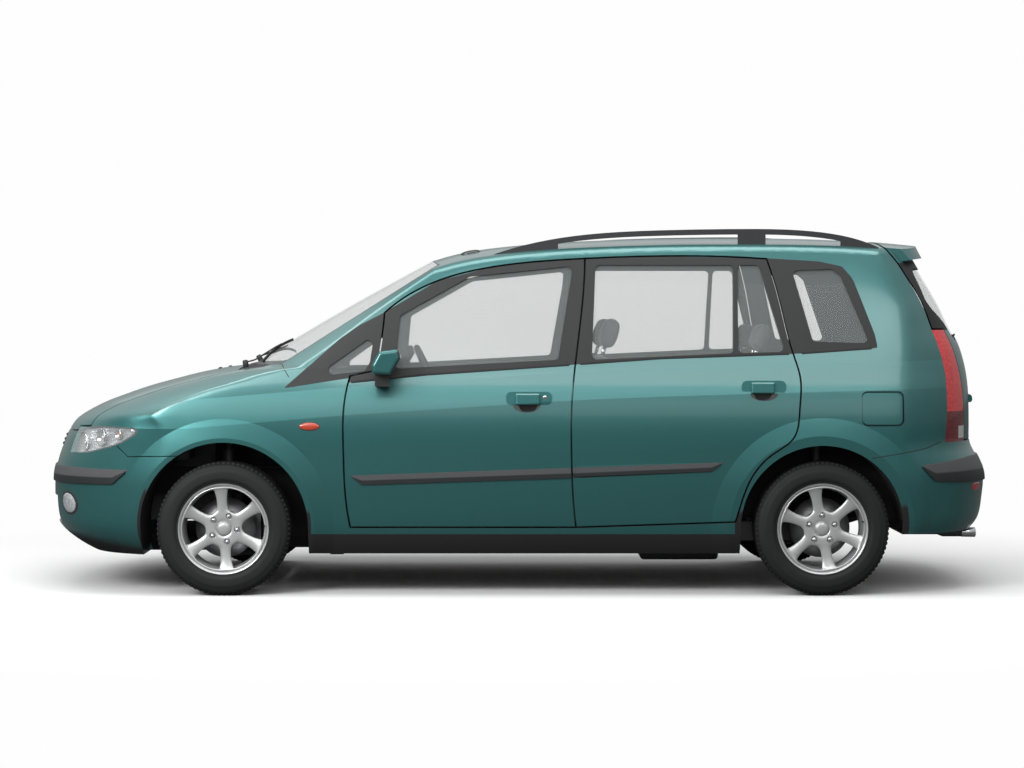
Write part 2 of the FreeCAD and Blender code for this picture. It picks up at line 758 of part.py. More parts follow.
# Bonnet, wings and front bumper
def bonnet_prism(gap):
    side = bonnet_half_width + gap
    front = -half_length - overrun
    rear = bonnet_rear_x + gap
    return box_between(front, rear, -side, side, z_at(bonnet_front_share) - gap, roof_height)


lamp_points = side_points(head_lamp_shares)
head_lamp_prism = across(rounded_outline(lamp_points, lamp_corner_radius))
lamp_runs = [[a, b] for a, b in zip(lamp_points, lamp_points[1:] + lamp_points[:1])]
lamp_gap_prism = across(grown_outline(lamp_runs, panel_gap))
lamp_inner_y = half_width * lamp_inner_y_share
lamp_side = both_sides(box_between(-half_length - overrun, firewall_x, lamp_inner_y, half_width + overrun,
                                   -overrun, roof_height))
lamp_side_wide = both_sides(box_between(-half_length - overrun, firewall_x, lamp_inner_y - seat_gap,
                                        half_width + overrun, -overrun, roof_height))
lamp_side_gap = both_sides(box_between(-half_length - overrun, firewall_x, lamp_inner_y - panel_gap,
                                       half_width + overrun, -overrun, roof_height))
bonnet = front_wall.common(bonnet_prism(0)).cut(lamp_gap_prism.common(lamp_side_gap))
save(Part.Compound(largest(bonnet)), "bonnet")

lamp_block = outer.common(head_lamp_prism).common(lamp_side)
lamp_block = lamp_block.cut(skin_solid(lamp_depth, lamp_depth, lamp_depth, 0))
save(lamp_block, "head_lamps")

bumper_top = across(Part.makePolygon(side_points(bumper_top_shares + bumper_top_shares[:1])))
front_bumper = front_wall.common(bumper_top).cut(front_arch)
front_bumper = front_bumper.cut([head_lamp_prism.common(lamp_side_wide), bonnet_prism(panel_gap)])
grille_hole = box_between(-half_length - overrun, -half_length + overrun, -grille_half_width,
                          grille_half_width, grille_low_z, z_at(bonnet_front_share) + overrun)
intake_hole = box_between(-half_length - overrun, -half_length + overrun, -intake_half_width,
                          intake_half_width, intake_low_z, intake_high_z)
front_bumper = front_bumper.cut([grille_hole, intake_hole])
front_strip = trim_layer.common(strip_prism(front_strip_shares)).common(wide_box(-half_length - overrun, 0,
                                                                                0, roof_height))
save(joined([largest(front_bumper)[0]] + front_strip.Solids), "front_bumper")

wing_prism = across(Part.makePolygon(side_points(wing_shares + wing_shares[:1])))
wings = front_wall.common(wing_prism)
wings = wings.cut([bonnet_prism(panel_gap), front_arch, door_holes["front"],
                   head_lamp_prism.common(lamp_side_wide), screen_prism,
                   wide_box(bonnet_rear_x, cowl_rear_x, cowl_low_z, roof_height)
                   .common(box_between(-half_length, half_length, -cowl_half_width, cowl_half_width,
                                       0, roof_height))])
save(Part.Compound(largest(wings, 2)), "wings")
cowl_box = box_between(bonnet_rear_x + panel_gap, cowl_rear_x, -cowl_half_width, cowl_half_width,
                       cowl_low_z, z_at(screen_shares[0][1]))
save(front_wall.common(cowl_box), "cowl_panel")


# Body shell
tail_prism = across(Part.makePolygon(side_points(tail_region_shares + tail_region_shares[:1])))
rear_bumper_prism = across(Part.makePolygon(side_points(rear_bumper_shares + rear_bumper_shares[:1])))
def flap_prism(grow, hinge_grow):
    """The flap's outline through the skin; its front edge, where the hinge is, has its own growth."""
    low_x, low_z, high_z = flap_low_x - hinge_grow, flap_low_z - grow, flap_high_z + grow
    corners = [V(low_x, 0, low_z), V(flap_high_x + grow, 0, low_z), V(flap_high_x + grow, 0, high_z),
               V(low_x, 0, high_z)]
    left = box_between(-half_length, half_length, -half_width - overrun, flap_pocket_depth - half_width,
                       0, roof_height)
    return across(rounded_outline(corners, flap_corner_radius)).common(left)


riser_x = rear_axle_x - rear_arch_radius
shell = wall.common(wide_box(firewall_x - cowl_depth, half_length + overrun, sill_low_z, 2 * roof_height))
shell = shell.cut([door_holes["front"], door_holes["rear"], wing_prism, screen_prism,
                   body_window_prisms, tail_prism, rear_bumper_prism, front_arch, rear_arch, cowl_box,
                   flap_prism(panel_gap / 2, panel_gap / 2),
                   wide_box(riser_x, half_length + overrun, 0, boot_floor_z),
                   wide_box(-half_length, firewall_x, 0, side_rail_z)])
pillar_layer = hollow(
    skin_solid(door_wall + moving_gap, pillar_wall + moving_gap, tail_wall, roof_wall, inner_levels)
    .cut(roof_block(roof_wall)),
    skin_solid(door_wall + pillar_depth, pillar_wall + pillar_depth, tail_wall + pillar_depth,
               roof_wall + pillar_depth, inner_levels[1:]).cut(roof_block(roof_wall + pillar_depth)))
pillar_prism = across(Part.makePolygon(side_points(pillar_shares + pillar_shares[:1])))
middle_pillars = pillar_layer.common(pillar_prism)
firewall = inner.common(wide_box(firewall_x, firewall_x + firewall_thickness, sill_low_z,
                                 z_at(firewall_top_share))).cut(front_arch)
boot_floor = inner.common(wide_box(riser_x, half_length, boot_floor_z, boot_floor_z + floor_thickness))
boot_floor = boot_floor.cut(rear_arch)
riser = inner.common(wide_box(riser_x - floor_thickness, riser_x, sill_low_z,
                              boot_floor_z + floor_thickness))
front_posts = pillar_layer.common(wide_box(firewall_x, post_rear_x, sill_low_z,
                                           z_at(door_front_shares[0][1]))).cut(front_arch)
front_posts = front_posts.cut(box_between(firewall_x, post_rear_x, -wheelhouse_inner_y, wheelhouse_inner_y,
                                          0, roof_height))
seal_layer = hollow(
    skin_solid(door_wall + seat_gap, pillar_wall + seat_gap, tail_wall, roof_wall, inner_levels),
    skin_solid(door_wall + 4 * moving_gap, pillar_wall + 4 * moving_gap, tail_wall + moving_gap,
               roof_wall + moving_gap, inner_levels[1:]))
seal_low_z = z_at(door_low_share) + 2 * moving_gap
seal_high_z = z_at(door_front_shares[0][1])
seals = seal_layer.common(wide_box(post_rear_x - seal_width, post_rear_x, seal_low_z, seal_high_z))
seals = Part.Compound(seals.Solids + seal_layer.common(
    wide_box(middle_seal_x - seal_width, middle_seal_x, seal_low_z, seal_high_z)).Solids)
buffers = [Part.makeCylinder(buffer_radius, roof_height, V(rail_front_x - rail_section / 2, side * buffer_y,
                                                          side_rail_z + rail_section)) for side in (-1, 1)]
buffers = Part.Compound(buffers).common(wing_inner)
buffers.translate(V(0, 0, -seat_gap))


def wheelhouse(axle_x, radius, inner_y, hull, low_z, closed_x):
    """The liner over the wheels of one axle, with an inner wall behind the given place."""
    space = arch_block(axle_x, radius, inner_y)
    liner = arch_block(axle_x, radius + liner_thickness, inner_y).cut(space)
    wall_block = arch_block(axle_x, radius + liner_thickness, inner_y - liner_thickness)
    inner_wall = wall_block.common(box_between(closed_x, half_length, 0, inner_y, 0, roof_height))
    above = box_between(-half_length, half_length, 0, half_width, low_z, roof_height)
    return both_sides(liner.fuse(inner_wall).common(above)).common(hull)


rear_houses = wheelhouse(rear_axle_x, rear_arch_radius, rear_wheelhouse_inner_y, inner, boot_floor_z, 0)
front_houses = wheelhouse(front_axle_x, front_arch_radius, wheelhouse_inner_y, wing_inner, sill_low_z,
                          firewall_x)
side_rail = box_between(rail_front_x, firewall_x + firewall_thickness, wheelhouse_inner_y - rail_section,
                        wheelhouse_inner_y, side_rail_z, side_rail_z + 2 * rail_section)
side_rails = both_sides(side_rail)
crossmember = box_between(rail_front_x - rail_section, rail_front_x, -lamp_inner_y, lamp_inner_y,
                          side_rail_z, side_rail_z + 2 * rail_section)
strut_towers = both_sides(box_between(
    front_axle_x - tower_radius, front_axle_x + tower_radius, wheelhouse_inner_y - rail_section,
    strut_top_y + tower_radius, strut_top_z + moving_gap, strut_top_z + moving_gap + tower_height))
strut_towers = strut_towers.common(wing_inner)
tower_bridge = both_sides(box_between(front_axle_x - tower_radius, front_axle_x + tower_radius,
                                      wheelhouse_inner_y - rail_section, wheelhouse_inner_y,
                                      side_rail_z + rail_section, strut_top_z + tower_height))
jack_pads = [box_between(x - jack_pad_length / 2, x + jack_pad_length / 2, y - jack_pad_width / 2,
                         y + jack_pad_width / 2, sill_low_z - jack_pad_height, sill_low_z + jack_pad_height)
             for x in (front_jack_x, rear_jack_x) for y in (-jack_y, jack_y)]
shell = joined([shell] + middle_pillars.Solids + front_posts.Solids + seals.Solids + jack_pads)
save(shell, "body_shell")


def kingpin_point(z):
    return V(front_axle_x, -kingpin_low_y + (z - kingpin_low_z) * math.tan(kingpin_lean), z)


pin_low, pin_high = kingpin_point(kingpin_low_z), kingpin_point(strut_top_z)
strut_way = (pin_high - pin_low).normalize()
strut_passage = Part.makeCylinder(strut_radius + moving_gap, (pin_high - kingpin_point(strut_mid_z)).Length,
                                  kingpin_point(strut_mid_z), strut_way)

# Underbody: the front structure with the bulkhead, the load floor and the rear wheelhouses
front_structure = joined(firewall.Solids + front_houses.Solids + side_rails.Solids + [crossmember]
                         + strut_towers.Solids + tower_bridge.Solids + buffers.Solids)
front_structure = front_structure.cut([shell, strut_passage, mirrored(strut_passage)])
load_floor = joined(boot_floor.Solids + riser.Solids)
rear_houses = rear_houses.cut(load_floor)
save(Part.Compound(largest(front_structure) + largest(load_floor) + largest(rear_houses, 2)), "underbody")

# Fixed glass
fixed_panes = glass_layer.common(body_window_prisms)
screen = glass_layer.common(screen_prism)
save(Part.Compound(largest(screen) + largest(fixed_panes, 4)), "fixed_glass")

# Tail lamps, tailgate and rear bumper
lamp_low_z = z_at(tail_lamp_shares[-1][1])
rear_lamp_y = half_width * rear_lamp_inner_y_share
lamp_band = both_sides(box_between(0, half_length + overrun, rear_lamp_y, half_width + overrun,
                                   lamp_low_z, z_at(tail_lamp_shares[0][1])))
tail_lamps = outer.common(tail_prism).common(lamp_band)
tail_lamps = tail_lamps.cut(skin_solid(tail_lamp_depth, tail_lamp_depth, tail_lamp_depth))
save(Part.Compound(largest(tail_lamps, 2)), "tail_lamps")

gate_line = side_points(tail_region_shares)
gate_prism = across(grown_outline([[a, b] for a, b in zip(gate_line, gate_line[1:] + gate_line[:1])],
                                  -panel_gap))
lamp_clear = both_sides(box_between(0, half_length + overrun, rear_lamp_y - panel_gap,
                                    half_width + overrun, 0, z_at(tail_lamp_shares[0][1]) + panel_gap))
rear_window_points = [V(0, side * y * half_width, z_at(z)) for side, table in
                      ((1, rear_screen_shares), (-1, rear_screen_shares[::-1])) for y, z in table]
rear_window = rounded_outline(rear_window_points, rear_glass_radius)
rear_window = Part.Face(rear_window)
rear_window.translate(V(half_length / 2, 0, 0))
rear_window = rear_window.extrude(V(half_length, 0, 0))
gate = wall.common(gate_prism).cut([lamp_clear, rear_window])
spoiler = hollow(skin_solid(0, 0, -spoiler_reach).cut(roof_block(-spoiler_rise)),
                 skin_solid(trim_sunk, trim_sunk, trim_sunk, trim_sunk, inner_levels)
                 .cut(roof_block(trim_sunk)))
spoiler = spoiler.common(box_between(0, half_length, -spoiler_half_width, spoiler_half_width,
                                     0, 2 * roof_height))
spoiler = spoiler.common(across(Part.makePolygon(side_points(spoiler_shares + spoiler_shares[:1]))))
spoiler = spoiler.common(gate_prism)
save(joined([largest(gate)[0]] + largest(spoiler)), "tailgate")
gate_glass = glass_layer.common(rear_window)
save(Part.Compound(largest(gate_glass)), "tailgate_glass")

rear_bumper = hollow(outer, wing_inner).common(rear_bumper_prism).cut(rear_arch)
rear_bumper = rear_bumper.common(wide_box(0, half_length + overrun, bumper_low_z, roof_height))
rear_strip = trim_layer.common(strip_prism(rear_strip_shares)).common(wide_box(0, half_length + overrun,
                                                                              0, roof_height))
gate_buffers = [Part.makeCylinder(buffer_radius, 2 * panel_gap - seat_gap,
                                  V(gate_buffer_x, y, lamp_low_z - panel_gap))
                for y in (-gate_buffer_y, gate_buffer_y)]
save(joined([largest(rear_bumper)[0]] + rear_strip.Solids + gate_buffers), "rear_bumper")

flap = hollow(outer, skin_solid(flap_thickness, flap_thickness, flap_thickness, flap_thickness,
                                inner_levels)).common(flap_prism(-panel_gap / 2, panel_gap / 2))
save(Part.Compound(largest(flap)), "fuel_flap")


# Grille: a frame with slats between the lamps
grille_rear_x = -half_length + grille_depth
grille_region = box_between(-half_length - overrun, grille_rear_x, -grille_half_width, grille_half_width,
                            grille_low_z, z_at(bonnet_front_share) - panel_gap)
grille_face = outer.common(grille_region)
slots = []
slot_pitch = (z_at(bonnet_front_share) - panel_gap - grille_low_z - grille_bar) / slot_count
for i in range(slot_count):
    low = grille_low_z + grille_bar + i * slot_pitch
    slots.append(box_between(-half_length - overrun, grille_rear_x + overrun,
                             grille_bar - grille_half_width, grille_half_width - grille_bar,
                             low, low + slot_pitch - grille_bar))
save(grille_face.cut(slots), "grille")


# Roof rails: a bar on feet along each side of the roof
rail_points = side_points(rail_top_shares)
rail_low = [V(rail_points[-1].x, 0, z_at(rail_base_share)), V(rail_points[0].x, 0, z_at(rail_base_share))]
rail_wire = Part.Wire([run_edge(rail_points), run_edge([rail_points[-1], rail_low[0]]),
                       run_edge(rail_low), run_edge([rail_low[1], rail_points[0]])])
rail_face = Part.Face(rail_wire)
rail_face.translate(V(0, rail_y - rail_width / 2, 0))
rail = rail_face.extrude(V(0, rail_width, 0)).cut(outer)
under_points = [p - V(0, 0, rail_bar_height) for p in rail_points]
under_wire = Part.Wire([run_edge(under_points), run_edge([under_points[-1], rail_low[0]]),
                        run_edge(rail_low), run_edge([rail_low[1], under_points[0]])])
under_face = Part.Face(under_wire)
under = under_face.extrude(V(0, half_width, 0))
for low, high in (rail_front_gap_shares, rail_rear_gap_shares):
    rail = rail.cut(under.common(wide_box(x_at(low), x_at(high), 0, 2 * roof_height)))
rail = largest(rail)[0]
save(both_sides(rail), "roof_rails")


# Engine
save(box_between(engine_x - engine_length / 2, engine_x + engine_length / 2, -engine_width / 2,
                 engine_width / 2, engine_low_z, engine_low_z + engine_height), "engine")


# Wheels: tyre, rim with spokes, hub and brake disc
def revolved_y(points, radius=0):
    """A solid turned about the Y axis from a closed outline of radius and side."""
    wire = rounded_outline([V(r, y, 0) for r, y in points], radius) if radius else Part.makePolygon(
        [V(r, y, 0) for r, y in points + points[:1]])
    return Part.Face(wire).revolve(V(0, 0, 0), V(0, 1, 0), 360)


half_tyre = tyre_width / 2
half_rim = rim_width / 2
tyre_outline = [(rim_radius - bead_depth, -half_rim), (rim_radius, -half_rim - rim_lip),
                (tyre_bulge_radius, -half_tyre), (tyre_radius - tread_drop, tread_shoulder - half_tyre),
                (tyre_radius, 2 * tread_shoulder - half_tyre),
                (tyre_radius, half_tyre - 2 * tread_shoulder),
                (tyre_radius - tread_drop, half_tyre - tread_shoulder), (tyre_bulge_radius, half_tyre),
                (rim_radius, half_rim + rim_lip), (rim_radius - bead_depth, half_rim)]
tyre = revolved_y(tyre_outline)

# The barrel of the rim, open between the spokes, with a flange at each side
inner_rim = rim_radius - bead_depth - seat_gap
barrel_outline = [(inner_rim, -half_rim), (inner_rim, half_rim), (inner_rim - rim_wall, half_rim),
                  (inner_rim - rim_wall - rim_drop, half_rim - rim_drop),
                  (inner_rim - rim_wall - rim_drop, rim_drop - half_rim),
                  (inner_rim - rim_wall, -half_rim)]
rim = revolved_y(barrel_outline)
hub_face_y = -half_rim + face_set_back
hub = cylinder_y(0, 0, hub_radius, hub_face_y, hub_face_y + hub_depth)
spokes = []
for i in range(spoke_count):
    reach = inner_rim - rim_wall / 2
    root, tip = spoke_root_width / 2, spoke_tip_width / 2
    outline = [V(0, 0, -root), V(reach, 0, spoke_sweep - tip), V(reach, 0, spoke_sweep + tip), V(0, 0, root)]
    arm = Part.Face(Part.makePolygon(outline + outline[:1])).extrude(V(0, spoke_depth, 0))
    arm.translate(V(0, hub_face_y, 0))
    arm = arm.common(cylinder_y(0, 0, inner_rim - rim_wall / 2, -half_tyre, half_tyre))
    spokes.append(arm.rotate(V(0, 0, 0), V(0, 1, 0), 360 * i / spoke_count))
carrier = cylinder_y(0, 0, bore_radius + hub_wall, hub_face_y, spindle_end_y)
disc = cylinder_y(0, 0, brake_radius, disc_y, disc_y + brake_thickness)
bore = cylinder_y(0, 0, bore_radius, hub_face_y + 2 * hub_wall, half_tyre)
nut_pits = []
for i in range(nut_count):
    turn = 2 * math.pi * i / nut_count + math.pi / 2
    nut_pits.append(cylinder_y(nut_circle_radius * math.cos(turn), nut_circle_radius * math.sin(turn),
                               nut_radius + nut_pit_wall, hub_face_y - rim_drop, hub_face_y + nut_pit_depth))
wheel = joined([rim, hub, carrier, disc] + spokes).cut([bore] + nut_pits)
for i in range(nut_count):
    turn = 2 * math.pi * i / nut_count + math.pi / 2
    wheel = wheel.fuse(cylinder_y(nut_circle_radius * math.cos(turn), nut_circle_radius * math.sin(turn),
                                  nut_radius, hub_face_y + rim_drop / 2, hub_face_y + nut_pit_depth))
wheel = wheel.removeSplitter()
wheel_places = {"front": front_axle_x, "rear": rear_axle_x}
for place, axle_x in wheel_places.items():
    for side_name, side in (("left", -1), ("right", 1)):
        for piece, name in ((tyre, "tyre"), (wheel, "wheel")):
            turned = piece.copy() if side < 0 else mirrored(piece)
            turned.translate(V(axle_x, side * track / 2, wheel_centre_z))
            save(turned, place + "_" + name + "_" + side_name)


# Steering knuckles: a carrier inside each front wheel, with the spindle, caliper and strut
spindle_y = -track / 2 + hub_face_y + 2 * hub_wall + seat_gap
knuckle_y = -track / 2 + spindle_end_y + moving_gap
half_knuckle = knuckle_width / 2
strut_low = kingpin_point(wheel_centre_z + strut_radius)
strut_mid = kingpin_point(strut_mid_z)
strut = Part.makeCylinder(strut_radius, (strut_mid - strut_low).Length, strut_low, strut_way)
rod = Part.makeCylinder(strut_radius / 2, (pin_high - strut_mid).Length, strut_mid, strut_way)
spindle = cylinder_y(front_axle_x, wheel_centre_z, bore_radius - seat_gap, spindle_y, pin_low.y)
upright = box_between(front_axle_x - half_knuckle, front_axle_x + half_knuckle, knuckle_y,
                      pin_low.y + half_knuckle, kingpin_low_z + ball_height,
                      wheel_centre_z + 2 * strut_radius)
ball_low = pin_low - strut_way * ball_height
ball = Part.makeCylinder(ball_radius, 2 * ball_height + half_knuckle, ball_low, strut_way)
steer_arm = box_between(front_axle_x, front_axle_x + steer_arm_length, pin_low.y - ball_radius,
                        pin_low.y + ball_radius, wheel_centre_z - half_knuckle, wheel_centre_z - ball_radius)
caliper = box_between(front_axle_x + brake_radius / 2, front_axle_x + brake_radius + caliper_overhang,
                      disc_y + brake_thickness + moving_gap - track / 2, knuckle_y + half_knuckle,
                      wheel_centre_z - caliper_height / 2, wheel_centre_z + caliper_height / 2)
caliper_arm = box_between(front_axle_x, front_axle_x + brake_radius / 2 + ball_radius, knuckle_y,
                          knuckle_y + half_knuckle, wheel_centre_z - ball_radius,
                          wheel_centre_z + ball_radius)
knuckle = joined([upright, spindle, strut, rod, ball, steer_arm, caliper, caliper_arm])
save(knuckle, "front_knuckle_left")
save(mirrored(knuckle), "front_knuckle_right")

# Front axle: a subframe under the engine with an arm to each ball joint
arm_z = kingpin_low_z - ball_height
arm_end_y = pin_low.y - arm_half_width
arm_neck_y = pin_low.y + arm_neck_length
arm_places = [(-arm_half_width, arm_end_y), (arm_half_width, arm_end_y), (arm_half_width, arm_neck_y),
              (arm_spread, -subframe_half_width), (-arm_half_width, -subframe_half_width),
              (-arm_half_width, arm_neck_y)]
arm_corners = [V(front_axle_x + x, y, arm_z - arm_thickness / 2) for x, y in arm_places]
arm = Part.Face(Part.makePolygon(arm_corners + arm_corners[:1])).extrude(V(0, 0, arm_thickness))
ball_bore = Part.makeCylinder(ball_radius + seat_gap, 2 * ball_height, pin_low - strut_way * ball_height,
                              strut_way)
arm = arm.cut(ball_bore)
subframe_top_z = arm_z + subframe_height
subframe_rear_x = front_axle_x + arm_spread + half_knuckle
subframe = box_between(front_axle_x - arm_spread / 2, subframe_rear_x, -subframe_half_width,
                       subframe_half_width, arm_z - arm_thickness / 2, subframe_top_z)
posts = both_sides(box_between(subframe_rear_x - knuckle_width, subframe_rear_x,
                               subframe_half_width - knuckle_width, subframe_half_width,
                               arm_z, side_rail_z - seat_gap))
pedestal = box_between(front_axle_x - arm_spread / 2, engine_x + engine_length / 2, -pedestal_half_width,
                       pedestal_half_width, arm_z, engine_low_z - seat_gap)
save(joined([subframe, arm, mirrored(arm), pedestal] + posts.Solids), "front_axle")

# Rear axle: a cross beam on trailing arms, with dampers up to the wheelhouses
rear_hub_low_y = rear_hub_y - trail_width
beam = cylinder_y((riser_x + rear_axle_x) / 2, wheel_centre_z - beam_radius, beam_radius,
                  -rear_hub_y, rear_hub_y)
trail = box_between(riser_x + seat_gap, rear_axle_x + beam_radius, rear_hub_low_y, rear_hub_y,
                    wheel_centre_z - 2 * beam_radius, wheel_centre_z + beam_radius / 2)
stub = cylinder_y(rear_axle_x, wheel_centre_z, bore_radius - seat_gap, rear_hub_low_y, -spindle_y)
hub_plate = cylinder_y(rear_axle_x, wheel_centre_z, beam_radius, rear_hub_low_y, -knuckle_y)
damper_top_z = wheel_centre_z + arch_lift + rear_arch_radius - seat_gap
damper = Part.makeCylinder(damper_radius, damper_top_z - wheel_centre_z,
                           V(rear_axle_x, rear_hub_y - trail_width / 2, wheel_centre_z))
damper = damper.common(cylinder_y(rear_axle_x, wheel_centre_z + arch_lift, rear_arch_radius - seat_gap,
                                  0, half_width))
half_axle = joined([trail, stub, hub_plate, damper])
save(joined([beam, half_axle, mirrored(half_axle)]), "rear_axle")


# Fuel tank and exhaust under the floor
def tube(points, radius):
    """A round pipe through points, with a ball at each bend."""
    pieces = []
    for a, b in zip(points, points[1:]):
        pieces.append(Part.makeCylinder(radius, (b - a).Length, a, b - a))
    pieces += [Part.makeSphere(radius, p) for p in points[1:-1]]
    return pieces[0].fuse(pieces[1:])


tank = box_between(tank_x, tank_x + tank_length, -tank_half_width, tank_half_width,
                   sill_low_z - tank_depth, sill_low_z - seat_gap)
tank_mid_z = sill_low_z - tank_depth / 2
tank = tank.makeFillet(tank_corner_radius, [e for e in tank.Edges if e.BoundBox.ZMax < tank_mid_z])
save(tank, "fuel_tank")
silencer_low_z = boot_floor_z - seat_gap - silencer_depth
silencer_mid_z = silencer_low_z + silencer_depth / 2
silencer = box_between(silencer_x, silencer_x + silencer_length, -silencer_half_width, silencer_half_width,
                       silencer_low_z, boot_floor_z - seat_gap)
pipe = tube([V(pipe_front_x, pipe_y, pipe_z), V(rear_axle_x, pipe_y, pipe_z),
             V(silencer_x + pipe_radius, pipe_y, silencer_mid_z)], pipe_radius)
tailpipe = tube([V(silencer_x + silencer_length / 2, -tailpipe_y, silencer_mid_z),
                 V(silencer_x + silencer_length, -tailpipe_y, tailpipe_z),
                 V(tailpipe_end_x, -tailpipe_y, tailpipe_z)], tailpipe_radius)
save(joined([silencer, pipe, tailpipe]), "exhaust")

# Dashboard with the hood over the gauges and the steering column's sleeve
dash_face_x = firewall_x + firewall_thickness + seat_gap
dash_places = [(dash_face_x, dash_low_z), (dash_face_x, dash_top_z - dash_round),
               (dash_face_x + dash_round, dash_top_z), (dash_rear_x - 2 * dash_round, dash_top_z),
               (dash_rear_x, dash_top_z - dash_round), (dash_rear_x, wheel_hub_z - 3 * dash_round),
               (dash_rear_x - 3 * dash_round, dash_low_z)]
dash_outline = rounded_outline([V(x, -dash_half_width, z) for x, z in dash_places], dash_round / 2)
dash = Part.Face(dash_outline).extrude(V(0, 2 * dash_half_width, 0))
wheel_hub = V(wheel_hub_x, -driver_y, wheel_hub_z)
column_way = V(math.cos(column_tilt), 0, math.sin(column_tilt))
sleeve_start = wheel_hub - column_way * (column_length + hub_thickness)
sleeve = Part.makeCylinder(sleeve_radius, column_length - moving_gap, sleeve_start, column_way)
hood = box_between(dash_rear_x - 2 * dash_round - hood_length, dash_rear_x, -driver_y - hood_half_width,
                   hood_half_width - driver_y, dash_top_z - 2 * dash_round, dash_top_z + hood_height)
hood = hood.makeFillet(dash_round / 2, [e for e in hood.Edges if e.BoundBox.ZMin > dash_top_z])
console = box_between(dash_face_x, console_rear_x, -console_half_width, console_half_width,
                      z_at(inner_levels[0]) + seat_gap, dash_low_z + dash_round)
shaft_bore = Part.makeCylinder(shaft_radius + seat_gap, column_length + hub_thickness,
                               sleeve_start + column_way * (column_length / 4), column_way)
dash_space = skin_solid(door_wall + pillar_depth + seat_gap, pillar_wall + pillar_depth + seat_gap,
                        tail_wall + pillar_depth, roof_wall + pillar_depth, inner_levels)
dash = dash.common(dash_space)
save(joined([dash, sleeve, hood, console]).cut(shaft_bore), "dashboard")

# Steering wheel: a round rim on three spokes, with a shaft into the column's sleeve
steering_rim = Part.makeTorus(wheel_rim_radius - wheel_rim_section, wheel_rim_section, V(0, 0, 0), V(0, 0, 1))
steering_hub = Part.makeCylinder(wheel_hub_radius, hub_thickness, V(0, 0, -hub_thickness))
steering_hub = steering_hub.makeFillet(hub_thickness / 3, [steering_hub.Edges[0]])
shaft = Part.makeCylinder(shaft_radius, column_length * 3 / 4 - seat_gap,
                          V(0, 0, -hub_thickness - column_length * 3 / 4 + seat_gap))
steering_parts = [steering_rim, steering_hub, shaft]
for turn in (0, 90, 180):
    spoke = box_between(0, wheel_rim_radius - wheel_rim_section, -wheel_spoke_width / 2,
                        wheel_spoke_width / 2, -wheel_rim_section, 0)
    steering_parts.append(spoke.rotate(V(0, 0, 0), V(0, 0, 1), turn + 180))
steering_wheel = joined(steering_parts)
steering_wheel.rotate(V(0, 0, 0), V(0, 0, 1), 90)
steering_wheel.rotate(V(0, 0, 0), V(0, 1, 0), 90 - math.degrees(column_tilt))
steering_wheel.translate(wheel_hub)
save(steering_wheel, "steering_wheel")


# Seats: a base, a cushion, a leaning back and a head restraint
def seat(front_x, cushion_z, length, half_seat, back_height, foot_z):
    lean = math.radians(back_lean)
    cushion = box_between(front_x, front_x + length, -half_seat, half_seat, cushion_z - cushion_height,
                          cushion_z)
    cushion = cushion.makeFillet(seat_round, cushion.Edges)
    back = box_between(-back_thickness / 2, back_thickness / 2, -half_seat, half_seat, 0, back_height)
    back = back.makeFillet(seat_round, back.Edges)
    back.rotate(V(0, 0, 0), V(0, 1, 0), back_lean)
    back.translate(V(front_x + length - seat_round, 0, cushion_z - cushion_height))
    base = box_between(front_x + 2 * seat_round, front_x + length - seat_round, 2 * seat_round - half_seat,
                       half_seat - 2 * seat_round, foot_z, cushion_z - cushion_height / 2)
    top = V(front_x + length - seat_round + back_height * math.sin(lean), 0,
            cushion_z - cushion_height + back_height * math.cos(lean))
    return [cushion, back, base], top


def head_restraint(top, y):
    block = box_between(-rest_thickness / 2, rest_thickness / 2, y - rest_half_width, y + rest_half_width,
                        rest_gap, rest_gap + rest_height)
    block = block.makeFillet(rest_thickness / 3, block.Edges)
    stems = [Part.makeCylinder(stem_radius, 2 * rest_gap + seat_round, V(0, y + side * rest_half_width / 2,
                                                                         -seat_round))
             for side in (-1, 1)]
    rest = block.fuse(stems)
    rest.rotate(V(0, 0, 0), V(0, 1, 0), back_lean)
    rest.translate(top)
    return rest


floor_top_z = z_at(inner_levels[0]) + seat_gap
pieces, top = seat(front_seat_x, front_seat_z, front_seat_length, front_seat_half_width,
                   seat_back_height, floor_top_z)
front_seat = joined(pieces + [head_restraint(top, 0)])
seats = []
for side in (-1, 1):
    placed = front_seat.copy()
    placed.translate(V(0, side * driver_y, 0))
    seats.append(placed)
save(Part.Compound(seats), "front_seats")
pieces, top = seat(rear_seat_x, rear_seat_z, rear_seat_length, rear_seat_half_width,
                   seat_back_height, floor_top_z)
rests = [head_restraint(top, y) for y in (-rear_rest_y, rear_rest_y)]
save(joined(pieces + rests), "rear_seats")

# Door mirrors: a shell on a foot that stands on the front door
mirror_points = [V(x, 0, z) for x, z in mirror_places]
mirror_shell = Part.Face(rounded_outline(mirror_points, mirror_round))
mirror_shell.translate(V(0, -mirror_outer_y, 0))
mirror_shell = mirror_shell.extrude(V(0, mirror_width, 0))
mirror_shell = mirror_shell.makeFillet(mirror_round, [e for e in mirror_shell.Edges
                                                      if e.BoundBox.YMax < mirror_round - mirror_outer_y])
foot = box_between(mirror_foot_x, mirror_foot_x + mirror_foot_length, -mirror_outer_y + mirror_width / 2,
                   -mirror_outer_y + mirror_width + overrun, mirror_foot_z, mirror_foot_z + mirror_foot_height)
foot = foot.cut(skin_solid())
foot = largest(foot)[0]
mirror = joined([mirror_shell, foot])
save(mirror, "mirror_left")
save(mirrored(mirror), "mirror_right")
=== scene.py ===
# %% [markdown]
# # A compact five-door minivan
# The packed CAD model is the frame of this scene. Its nodes carry the sizes and the joints, and this script
# dresses them: paint, glass, trim, wheels, lamps and the cabin. Everything is in metres, X to the tail, Y to
# the car's right-hand side and Z up.

